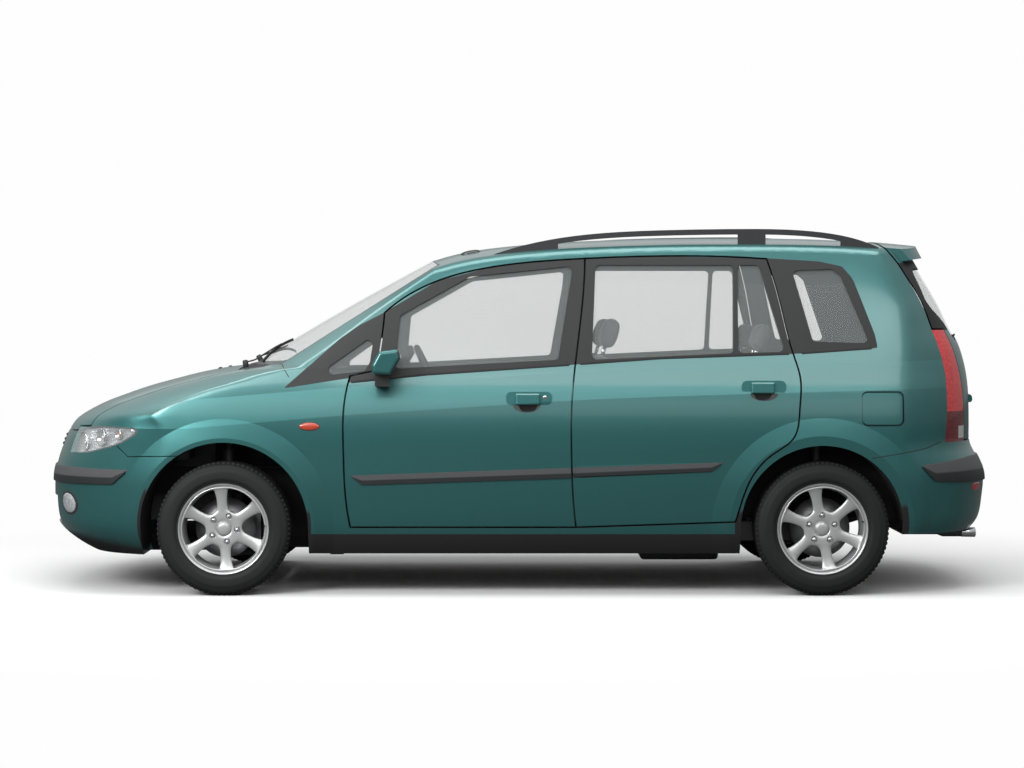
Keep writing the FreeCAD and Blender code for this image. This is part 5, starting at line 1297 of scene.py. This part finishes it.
tail_finish.colour(tail_finish.mix(rim, tone, (0.02, 0.02, 0.02)))
tail_finish.bump(tail_wave, 0.0010, 0.35)
recoloured(nodes["tail_lamps"], tail_finish.material)
print("tail lamps wear", tail_finish.material.name)

# %% [markdown]
# ## Nose
# Slats lie in front of the black grille with a bare oval badge in the middle. The fog lamps are round glasses in
# dark rims, and a tow loop sits under the bumper.

# %% Grille, badge, fog lamps
grille_low, grille_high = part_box("grille")
print("grille from", [round(v, 3) for v in grille_low], "to", [round(v, 3) for v in grille_high])
grille_tree = tree_of("grille")
half = (grille_high.y - grille_low.y) / 2 - 0.035
slats = []
for share in (0.30, 0.52, 0.74):
    z = grille_low.z + (grille_high.z - grille_low.z) * share
    slats.append(strip("slat", grille_tree, "front", [(-half, z), (half, z)],
                       [(-0.006, -0.006), (-0.006, 0.002), (0.0, 0.006), (0.006, 0.002), (0.006, -0.006)], dark_trim))
settle(joined_piece("grille_slats", slats), "body", "dark_trim")
badge_z = (grille_low.z + grille_high.z) / 2
badge_profile = [(0.0, 0.0), (0.6, 0.0012), (0.85, 0.0035), (0.90, 0.0020), (0.96, 0.0022), (1.0, 0.0055),
                 (0.98, 0.012), (0.0, 0.014)]
badge = turned("blank_badge", badge_profile, 64, chrome, axis="X", closed=False)
badge_at = Matrix.Translation((grille_low.x + 0.001, 0.0, badge_z)) @ Matrix.Diagonal((1.0, 0.056, 0.034, 1.0))
settle(moved(badge, badge_at), "body", "alloy")
fog_finish = Finish("fog_glass", (0.60, 0.63, 0.65), 0.10, 0.3, Coat_Weight=1.0)
fog_cells = fog_finish.cells(90)
fog_finish.bump(fog_cells, 0.0012, 0.6)
fog_finish.colour(fog_finish.mix(fog_cells, (0.72, 0.75, 0.77), (0.35, 0.38, 0.40)))
for side, sign in SIDES.items():
    centre = (sign * 0.60, 0.400)
    settle(pad("fog_rim_" + side, front_tree, "front", oval(centre, (0.057, 0.055)), 0.004, dark_trim),
           "body", "dark_trim")
    settle(pad("fog_glass_" + side, front_tree, "front", oval(centre, (0.046, 0.044)), 0.006,
               fog_finish.material, edge=0.003), "body", "lamp_clear")
loop_turns = [2 * math.pi * i / 24 for i in range(25)]
loop_path = [Vector((-1.871 + 0.024 * math.cos(t), -0.30, 0.222 + 0.024 * math.sin(t))) for t in loop_turns]
settle(swept("tow_loop", loop_path, circle(0.005, 8), coated_steel, ups=[Vector((0, 1, 0))] * len(loop_path),
             capped=False), "body", "steel")

# %% [markdown]
# ## Wipers and cowl
# An arm is a bar that comes down to the glass at its tip, and the blade is a rubber lip in a thin carrier. Both
# follow the glass: their points come from rays on it, straight down in front and from behind on the tailgate.

# %% Wipers and cowl ribs
def wiper(name, tree, view, pivot, tip, blade_line, rise):
    pivot_at, pivot_normal = skin(tree, view, *pivot)
    arm_path, ups = [], []
    for share in (0, 0.12, 0.3, 0.6, 0.85, 1.0):
        u, v = Vector(pivot).lerp(Vector(tip), share)
        place, normal = skin(tree, view, u, v)
        arm_path.append(place + normal * (rise * (1.0 - 0.45 * share) if share < 1 else 0.012))
        ups.append(normal)
    arm = swept("arm", arm_path, [(-0.0075, -0.003), (-0.0075, 0.003), (0.0075, 0.003), (0.0075, -0.003)],
                dark_trim, ups=ups)
    blade = strip("blade", tree, view, blade_line,
                  [(-0.0012, 0.0002), (-0.0012, 0.006), (-0.0045, 0.008), (-0.0035, 0.013), (0.0035, 0.013),
                   (0.0045, 0.008), (0.0012, 0.006), (0.0012, 0.0002)], rubber)
    post = upright("post", [(0.0, -0.012), (0.013, -0.012), (0.013, rise + 0.004), (0.009, rise + 0.009),
                            (0.0, rise + 0.010)], 24, dark_trim)
    return joined_piece(name, [arm, blade, moved(post, Matrix.Translation(pivot_at) @ towards(pivot_normal))])


WIPERS = (  # name, tree, view, pivot, tip of the arm, line of the blade, height of the arm, body
    ("wiper_left", top_tree, "top", (-1.245, -0.56), (-1.105, -0.28),
     [(-1.165, -0.55), (-1.075, 0.02)], 0.024, "body"),
    ("wiper_right", top_tree, "top", (-1.232, 0.02), (-1.125, 0.30),
     [(-1.180, 0.05), (-1.105, 0.56)], 0.020, "body"),
    ("rear_wiper", rear_tree, "rear", (0.0, 1.100), (-0.20, 1.150),
     [(-0.34, 1.158), (0.02, 1.135)], 0.030, "tailgate"))
for *drawn, body in WIPERS:
    settle(wiper(*drawn), body, "dark_trim")
cowl_tree = tree_of("cowl_panel")
cowl_low, cowl_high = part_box("cowl_panel")
cowl_depth = cowl_high.x - cowl_low.x
near, far = cowl_low.x + 0.42 * cowl_depth, cowl_low.x + 0.80 * cowl_depth
ribs = []
for i in (*range(8), *range(38, 46)):  # of 46 places; only there does the curved panel lie below a rib
    y = -0.60 + 1.20 * i / 45
    ribs.append(strip("rib", cowl_tree, "top", [(near, y), (far, y)], rounded(0.007, 0.0025), rubber))
settle(joined_piece("cowl_ribs", ribs), "body", "dark_trim")
for side, sign in SIDES.items():
    settle(pad("washer_jet_" + side, tree_of("bonnet"), "top", oval((-1.40, sign * 0.22), (0.011, 0.016), 20),
               0.006, dark_trim, rings=3), "bonnet", "dark_trim")
print("wipers:", len(WIPERS), "- cowl ribs:", len(ribs))

# %% [markdown]
# ## Tail
# The number plate is blank, with a painted bar above it. Two oval reflectors sit below the bumper strip, two
# small round sensors on it, and the tailpipe has a bright tip.

# %% Plate, bar, reflectors and pipe
plate_finish = Finish("blank_plate", (0.80, 0.80, 0.78), 0.35, Coat_Weight=0.3)
plate_finish.rough(plate_finish.noise(40), 0.3, 0.45)


def rectangle(half, low, high):
    return spread([(-half, low), (half, low), (half, high), (-half, high)], 0.02, closed=True)


settle(pad("plate_holder", rear_tree, "rear", rectangle(0.272, 0.694, 0.826), 0.001, dark_trim, edge=0.004,
           power=1.0), "tailgate", "dark_trim")
settle(pad("blank_plate", rear_tree, "rear", rectangle(0.26, 0.705, 0.815), 0.0005, plate_finish.material,
           edge=0.0058, power=1.0), "tailgate", "alloy")
settle(strip("tailgate_bar", rear_tree, "rear", [(-0.36, 0.866), (0.36, 0.866)],
             [(-0.018, -0.001), (-0.018, 0.010), (-0.010, 0.018), (0.008, 0.020), (0.018, 0.012), (0.018, -0.001)],
             bonnet_paint), "tailgate", "paint")
red_finish = Finish("red_lens", (0.50, 0.02, 0.025), 0.15, Coat_Weight=1.0)
red_cells = red_finish.cells(120)
red_finish.bump(red_cells, 0.0008, 0.5)
red_finish.colour(red_finish.mix(red_cells, (0.62, 0.03, 0.035), (0.28, 0.01, 0.014)))
for side, sign in SIDES.items():
    settle(pad("rear_reflector_" + side, rear_tree, "rear", oval((sign * 0.60, 0.475), (0.045, 0.018), 40, 3.0),
               0.003, red_finish.material), "body", "lamp_red")
    settle(pad("bumper_sensor_" + side, rear_tree, "rear", oval((sign * 0.36, 0.556), (0.011, 0.011), 24), 0.001,
               gloss_black, rings=3), "body", "dark_trim")
tip = turned("exhaust_tip", [(0.0185, -0.03), (0.0215, -0.03), (0.0225, 0.030), (0.0215, 0.034), (0.0195, 0.034),
                             (0.0185, 0.030)], 40, chrome, axis="X")
pipe_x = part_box("exhaust")[1].x
pipe_end = [v.co for v in nodes["exhaust"].data.vertices if v.co.x > pipe_x - 0.004]
pipe_y, pipe_z = (sum(p[i] for p in pipe_end) / len(pipe_end) for i in (1, 2))
settle(moved(tip, Matrix.Translation((pipe_x - 0.031, pipe_y, pipe_z))), "body", "steel")
print("exhaust tip at", round(pipe_x, 3), round(pipe_y, 3), round(pipe_z, 3))

# %% [markdown]
# ## Seats
# Foam under cloth is full and tight, with soft corners and a slight bulge between the seams. Each seat starts as
# boxes with rounded edges, a little smaller than the CAD seat. One voxel remesh gives even quads, then a short
# cloth run with air pressure inside swells the shape, and no point moves further than a set reach.

# %% Seat cloth
cloth_finish = Finish("seat_cloth", (0.150, 0.153, 0.158), 0.9)
warp, weft = cloth_finish.waves(130, "Y"), cloth_finish.waves(130, "Z")
for thread in (warp, weft):
    thread.node.inputs["Distortion"].default_value = 0.6
weave = cloth_finish.maths("MULTIPLY", warp, weft)
speckle = cloth_finish.noise(420)
cloth_finish.colour(cloth_finish.mix(cloth_finish.blend(0.5, weave, speckle), (0.100, 0.104, 0.108),
                                     (0.215, 0.218, 0.223)))
cloth_finish.bump(weave, 0.0006, 0.6)
cloth_finish.shader.inputs["Sheen Weight"].default_value = 0.25
seat_cloth = cloth_finish.material
print("seat finish:", seat_cloth.name)

# %% [markdown]
# ### Boxes
# A box with rounded edges is the start of every cushion, and of the plain parts round the seats.

# %% Boxes with rounded edges
EDGE_STEPS = 4


def block(low, high, edge, matrix=Matrix.Identity(4)):
    """A box with rounded edges, in seat cloth."""
    work = bmesh.new()
    bmesh.ops.create_cube(work, size=1.0)
    size = Vector(high) - Vector(low)
    for vertex in work.verts:
        vertex.co = Vector(low) + Vector([(vertex.co[i] + 0.5) * size[i] for i in range(3)])
    bmesh.ops.bevel(work, geom=work.edges[:], offset=edge, segments=EDGE_STEPS, profile=0.5, affect="EDGES")
    mesh = bpy.data.meshes.new("block")
    work.to_mesh(mesh)
    work.free()
    mesh.materials.append(seat_cloth)
    piece = bpy.data.objects.new("block", mesh)
    bpy.context.scene.collection.objects.link(piece)
    return moved(piece, matrix)


def lean(x, z, degrees):
    """A hinge place and the lean of what stands on it."""
    return Matrix.Translation((x, 0, z)) @ Matrix.Rotation(math.radians(degrees), 4, "Y")


def solid(name, low, high, edge, material):
    """A box with rounded edges, a name and a finish of its own."""
    piece = recoloured(block(low, high, edge), material)
    piece.name = name
    return piece


print("a box has", EDGE_STEPS, "faces across each rounded edge")

# %% Cushions
VOXEL, QUICK_VOXEL = 0.006, 0.012
PRESSURE, CLOTH_FRAMES = 4.0, 20


def blow_up(piece, reach):
    """A cloth run with pressure inside; no point goes further than reach from its start."""
    start = [v.co.copy() for v in piece.data.vertices]
    cloth = piece.modifiers.new("cloth", "CLOTH")
    cloth.settings.use_pressure = True
    cloth.settings.uniform_pressure_force = PRESSURE
    cloth.settings.effector_weights.gravity = 0
    cloth.settings.tension_stiffness = cloth.settings.compression_stiffness = 40
    cloth.settings.shear_stiffness = 20
    cloth.settings.quality = 3
    cloth.point_cache.frame_start, cloth.point_cache.frame_end = 1, CLOTH_FRAMES
    scene = bpy.context.scene
    for frame_number in range(1, CLOTH_FRAMES + 1):
        scene.frame_set(frame_number)
    flat_copy(piece)
    scene.frame_set(1)
    for vertex, old in zip(piece.data.vertices, start):
        shift = vertex.co - old
        if shift.length > reach:
            vertex.co = old + shift * (reach / shift.length)


def swell(piece, reach=0.024, levels=0):
    """A cushion from boxes: even quads, then the cloth run, then a finer surface where levels ask for it."""
    even = piece.modifiers.new("even", "REMESH")
    even.mode, even.voxel_size = "VOXEL", VOXEL
    flat_copy(piece)
    blow_up(piece, reach)
    smooth = piece.modifiers.new("smooth", "SUBSURF")
    smooth.levels = smooth.render_levels = levels
    flat_copy(piece)
    recoloured(piece, seat_cloth)
    piece.data.polygons.foreach_set("use_smooth", [True] * len(piece.data.polygons))
    return piece


def restraint_posts(places, low, high, turn):
    """The bright posts that carry a head restraint."""
    profile = [(0.0, low), (0.006, low), (0.006, high), (0.0, high)]
    return [moved(upright("post", profile, 16, chrome), Matrix.Translation((0, y, 0)) @ turn) for y in places]


print("cushions: quads of", VOXEL, "m")

# %% [markdown]
# ### Front seats
# A seat is a cushion and a back with side bolsters, and the back leans over its hinge. The front seats are alike, so
# one master is copied to both sides. The frames below the cushions are plain plastic.

# %% Front seats
front_low, front_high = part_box("front_seats")
rear_low, rear_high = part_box("rear_seats")
print("front seats", [round(v, 3) for v in front_low], [round(v, 3) for v in front_high])
print("rear seats", [round(v, 3) for v in rear_low], [round(v, 3) for v in rear_high])
back_turn = lean(0.215, 0.50, 17)
seat_blocks = [block((-0.265, -0.150, 0.440), (0.200, 0.150, 0.545), 0.030),
               block((-0.255, -0.235, 0.440), (0.190, -0.160, 0.562), 0.028),
               block((-0.255, 0.160, 0.440), (0.190, 0.235, 0.562), 0.028),
               block((-0.050, -0.150, 0.010), (0.048, 0.150, 0.560), 0.028, back_turn),
               block((-0.068, -0.232, 0.020), (0.048, -0.160, 0.480), 0.028, back_turn),
               block((-0.068, 0.160, 0.020), (0.048, 0.232, 0.480), 0.028, back_turn),
               block((-0.048, -0.225, 0.488), (0.046, 0.225, 0.590), 0.032, back_turn)]
seat_master = swell(joined_piece("seat_master", seat_blocks))
restraint_master = swell(block((-0.036, -0.120, 0.632), (0.036, 0.120, 0.765), 0.030, back_turn), reach=0.012,
                         levels=1)
for side, sign in SIDES.items():
    at = Matrix.Translation((0.0, sign * 0.37, 0.0))
    for master, label in ((seat_master, "front_seat_"), (restraint_master, "front_restraint_")):
        cushion = settle(copied(master, label + side, at), "body", "seat_cloth", "front_seats")
    posts = restraint_posts([sign * 0.37 + y for y in (-0.06, 0.06)], 0.560, 0.660, back_turn)
    base = recoloured(block((-0.22, -0.19, 0.245), (0.18, 0.19, 0.440), 0.02, at), cabin_plastic)
    knob = moved(turned("knob", [(0.0, -0.012), (0.030, -0.012), (0.033, -0.006), (0.033, 0.006), (0.028, 0.014),
                                 (0.0, 0.016)], 32, cabin_plastic, closed=False),
                 Matrix.Translation((0.16, sign * 0.37 + sign * 0.245, 0.50)))
    settle(joined_piece("front_seat_frame_" + side, posts + [base, knob]), "body", "dark_trim", "front_seats")
for master in (seat_master, restraint_master):
    bpy.data.objects.remove(master)

# %% [markdown]
# ### Rear bench
# The bench has three places; its restraints stand on posts over the outer two.

# %% Rear bench
bench_turn = lean(0.905, 0.53, 19)
bench_blocks = [block((0.48, -0.520, 0.470), (0.885, -0.182, 0.572), 0.030),
                block((0.48, -0.174, 0.470), (0.885, 0.174, 0.566), 0.030),
                block((0.48, 0.182, 0.470), (0.885, 0.520, 0.572), 0.030),
                block((-0.050, -0.520, 0.010), (0.045, -0.182, 0.560), 0.030, bench_turn),
                block((-0.046, -0.174, 0.010), (0.045, 0.174, 0.552), 0.030, bench_turn),
                block((-0.050, 0.182, 0.010), (0.045, 0.520, 0.560), 0.030, bench_turn)]
bench = settle(swell(joined_piece("rear_bench", bench_blocks)), "body", "seat_cloth", "rear_seats")
for side, sign in SIDES.items():
    rest = swell(block((-0.034, -0.115, 0.600), (0.034, 0.115, 0.715), 0.028,
                       Matrix.Translation((0, sign * 0.34, 0)) @ bench_turn), reach=0.010, levels=1)
    rest.name = "rear_restraint_" + side
    settle(rest, "body", "seat_cloth", "rear_seats")
rear_posts = restraint_posts((-0.40, -0.28, 0.28, 0.40), 0.540, 0.625, bench_turn)
bench_base = solid("bench_base", (0.50, -0.50, 0.385), (0.90, 0.50, 0.470), 0.015, cabin_plastic)
settle(joined_piece("rear_bench_frame", rear_posts + [bench_base]), "body", "dark_trim", "rear_seats")
print("the bench has", len(bench.data.polygons), "quads")

# %% [markdown]
# ## Steering wheel and driver's place
# The rim is a ring with a soft section, joined by three spokes to a padded hub. Everything is built flat on the
# column's axis and then leaned over it.

# %% Steering wheel
wheel_at = Vector((-0.396, -0.370, 0.937))
wheel_axis = Vector((0.907, 0.0, 0.42)).normalized()
wheel_place = Matrix.Translation(wheel_at) @ towards(wheel_axis)
grip_ring = [(0.182 + a, b) for a, b in circle(0.0135, 14)]
parts = [turned("grip", grip_ring, 72, cabin_plastic, axis="Z")]
for turn in (0, 180, 270):
    spoke = solid("spoke", (0.045, -0.022, -0.024), (0.176, 0.022, -0.004), 0.007, cabin_plastic)
    parts.append(moved(spoke, Matrix.Rotation(math.radians(turn), 4, "Z")))
parts.append(upright("hub", [(0.0, 0.006), (0.045, 0.004), (0.066, -0.006), (0.074, -0.022), (0.066, -0.040),
                             (0.030, -0.055), (0.022, -0.062), (0.0, -0.062)], 48, cabin_plastic))
quarter_turn = Matrix.Rotation(math.radians(90), 4, "Z")
driver_wheel = moved(joined_piece("driver_wheel", parts), wheel_place @ quarter_turn)
settle(driver_wheel, "steering", "cabin_plastic", "steering_wheel")
column = upright("column", [(0.0, -0.30), (0.024, -0.30), (0.026, -0.07), (0.040, -0.065), (0.042, -0.058),
                            (0.0, -0.058)], 32, cabin_plastic)
settle(moved(column, wheel_place), "steering", "cabin_plastic", "steering_wheel")
print("steering wheel at", [round(v, 3) for v in wheel_at])

# %% [markdown]
# ### Dashboard details
# Two vents lie on the middle of the dashboard. A hood stands over the instruments, a lever on the console, and the
# inner mirror hangs behind the windscreen.

# %% Dashboard details
dash_tree = tree_of("dashboard")
dash_low, dash_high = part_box("dashboard")
print("dashboard", [round(v, 3) for v in dash_low], [round(v, 3) for v in dash_high])
for y, label in ((-0.10, "middle_left"), (0.10, "middle_right")):
    settle(pad("vent_" + label, dash_tree, "rear", oval((y, 0.885), (0.052, 0.030), 32, 3.0), 0.004, rubber,
               rings=4), "body", "dark_trim")
settle(solid("instrument_hood", (-0.86, -0.55, 0.955), (-0.66, -0.19, 1.012), 0.024, cabin_plastic),
       "body", "cabin_plastic")
lever = upright("gear_lever", [(0.0, 0.0), (0.030, 0.0), (0.012, 0.030), (0.007, 0.050), (0.007, 0.150),
                               (0.020, 0.165), (0.023, 0.190), (0.016, 0.206), (0.0, 0.210)], 32, rubber)
lever_at = Matrix.Translation((-0.60, 0.0, 0.60)) @ Matrix.Rotation(math.radians(-14), 4, "Y")
settle(moved(lever, lever_at), "body", "dark_trim")
settle(solid("inner_mirror", (-0.42, -0.115, 1.335), (-0.395, 0.115, 1.395), 0.010, dark_trim), "body", "dark_trim")

# %% [markdown]
# ## Door linings
# With a door open its inner side is seen. A cloth panel, an armrest, a pull, a speaker with a pierced cover and a
# map pocket are laid on it. They ride on the door. The rays start in the middle of the cabin and go outwards.

# %% Door linings
VIEWS["inner_left"] = lambda u, v: (Vector((u, 0, v)), Vector((0, -1, 0)))
VIEWS["inner_right"] = lambda u, v: (Vector((u, 0, v)), Vector((0, 1, 0)))
speaker_finish = Finish("speaker_cover", (0.03, 0.03, 0.032), 0.6)
holes = speaker_finish.cells(260)
speaker_finish.colour(speaker_finish.mix(speaker_finish.step(holes, 0.25, 0.4), (0.004, 0.004, 0.004),
                                         (0.045, 0.046, 0.048)))  # dark holes in a grey cover
speaker_finish.bump(holes, 0.0008, 0.6)
LININGS = {"front": (("panel", (-0.20, 0.835), (0.30, 0.050), 0.004, "cloth"),
                     ("armrest", (-0.20, 0.720), (0.24, 0.030), 0.045, "plastic"),
                     ("pull", (-0.47, 0.800), (0.050, 0.016), 0.012, "bright"),
                     ("speaker", (-0.52, 0.445), (0.075, 0.075), 0.006, "speaker"),
                     ("pocket", (-0.16, 0.440), (0.22, 0.060), 0.028, "plastic")),
           "rear": (("panel", (0.66, 0.860), (0.27, 0.045), 0.004, "cloth"),
                    ("armrest", (0.64, 0.750), (0.20, 0.028), 0.040, "plastic"),
                    ("pull", (0.42, 0.830), (0.045, 0.015), 0.011, "bright"),
                    ("speaker", (0.47, 0.460), (0.060, 0.060), 0.006, "speaker"))}
LINING_FINISH = {"cloth": (seat_cloth, "seat_cloth"), "plastic": (cabin_plastic, "cabin_plastic"),
                 "bright": (chrome, "alloy"), "speaker": (speaker_finish.material, "dark_trim")}
for side in SIDES:
    for row, pieces in LININGS.items():
        for label, centre, half, rise, finish in pieces:
            material, slot_name = LINING_FINISH[finish]
            made = pad("door_%s_%s_%s" % (label, row, side), door_trees[side][row], "inner_" + side,
                       oval(centre, half, 48, 2.0 if label == "speaker" else 4.0), rise, material, power=0.35)
            settle(made, row + "_door_" + side, slot_name)
print("lining pieces:", len(SIDES) * sum(len(pieces) for pieces in LININGS.values()))

# %% [markdown]
# ## Under the bonnet
# The heavy engine block comes from the CAD model. A ribbed cover, a battery, an air box with its hose and two
# bottles make the bay look like one.


# %% Engine bay
def hard(name, low, high, edge, material):
    """A solid with crisp shading."""
    return sharp_smooth(solid(name, low, high, edge, material))


cover = [hard("cover", (-1.715, -0.260, 0.766), (-1.405, 0.260, 0.792), 0.012, cabin_plastic)]
cover += [hard("rib", (-1.690, y - 0.006, 0.788), (-1.430, y + 0.006, 0.798), 0.003, cabin_plastic)
          for y in (-0.20, -0.12, -0.04, 0.04, 0.12, 0.20)]
filler = upright("filler", [(0.0, 0.0), (0.030, 0.0), (0.030, 0.018), (0.024, 0.022), (0.0, 0.022)], 32, rubber)
cover.append(moved(filler, Matrix.Translation((-1.47, 0.235, 0.786))))
settle(joined_piece("engine_cover", cover), "body", "dark_trim")
battery = [hard("battery", (-1.680, 0.370, 0.600), (-1.500, 0.540, 0.730), 0.008, gloss_black),
           hard("lid", (-1.684, 0.366, 0.722), (-1.496, 0.544, 0.742), 0.006, dark_trim)]
for y in (0.40, 0.51):
    post = upright("pole", [(0.0, 0.0), (0.009, 0.0), (0.008, 0.016), (0.0, 0.016)], 20, chrome)
    battery.append(moved(post, Matrix.Translation((-1.53, y, 0.741))))
settle(joined_piece("battery", battery), "body", "dark_trim")
air_box = [hard("box", (-1.700, -0.570, 0.590), (-1.500, -0.370, 0.735), 0.014, cabin_plastic)]
hose_line = [Vector((-1.60, -0.380, 0.700)), Vector((-1.58, -0.330, 0.715)), Vector((-1.55, -0.290, 0.735)),
             Vector((-1.53, -0.250, 0.755)), Vector((-1.50, -0.200, 0.765))]
air_box.append(swept("hose", hose_line, circle(0.030, 20), rubber))
settle(joined_piece("air_box", air_box), "body", "dark_trim")
bottle_finish = Finish("bottle_plastic", (0.62, 0.62, 0.58), 0.4, Subsurface_Weight=0.2)
bottle_finish.rough(bottle_finish.noise(30), 0.32, 0.5)
bottles = []
for x, y in ((-1.42, 0.46), (-1.42, -0.46)):
    low = (x - 0.05, y - 0.05, 0.715)
    bottles.append(hard("bottle", low, (x + 0.05, y + 0.05, 0.790), 0.018, bottle_finish.material))
    cap = upright("cap", [(0.0, 0.0), (0.022, 0.0), (0.022, 0.020), (0.018, 0.024), (0.0, 0.024)], 28, gloss_black)
    bottles.append(moved(cap, Matrix.Translation((x, y, 0.788))))
settle(joined_piece("bottles", bottles), "body", "dark_trim")
print("engine bay: a cover with", len(cover) - 2, "ribs, a battery, an air box and", len(bottles) // 2, "bottles")

# %% [markdown]
# ## High brake lamp and belts
# A long red lamp sits on the tailgate above the glass, and belts hang on the middle pillars. Webs are swept along
# a line, because a belt is one flat strip that only turns.

# %% Belts and high lamp
settle(pad("high_brake_lamp", rear_tree, "rear", oval((0.0, 1.480), (0.130, 0.009), 40, 4.0), 0.003,
           red_finish.material), "tailgate", "lamp_red")
belt_finish = Finish("belt_web", (0.05, 0.051, 0.053), 0.8)
belt_finish.bump(belt_finish.waves(200, "Z"), 0.0004, 0.5)
WEB_STEPS = 12
for side, sign in SIDES.items():
    top, foot = Vector((0.262, sign * 0.665, 1.235)), Vector((0.285, sign * 0.775, 0.420))
    web_line = [top.lerp(foot, i / WEB_STEPS) for i in range(WEB_STEPS + 1)]
    web = swept("web", web_line, [(-0.022, -0.0006), (-0.022, 0.0006), (0.022, 0.0006), (0.022, -0.0006)],
                belt_finish.material, ups=[Vector((0, sign, 0))] * len(web_line))
    ring = hard("ring", (0.240, sign * 0.665 - 0.008, 1.225), (0.284, sign * 0.665 + 0.008, 1.262), 0.005,
                cabin_plastic)
    settle(joined_piece("belt_" + side, [web, ring]), "body", "dark_trim")
print("belts:", len(SIDES), "- the web is", round((foot - top).length, 2), "m long")

# %% [markdown]
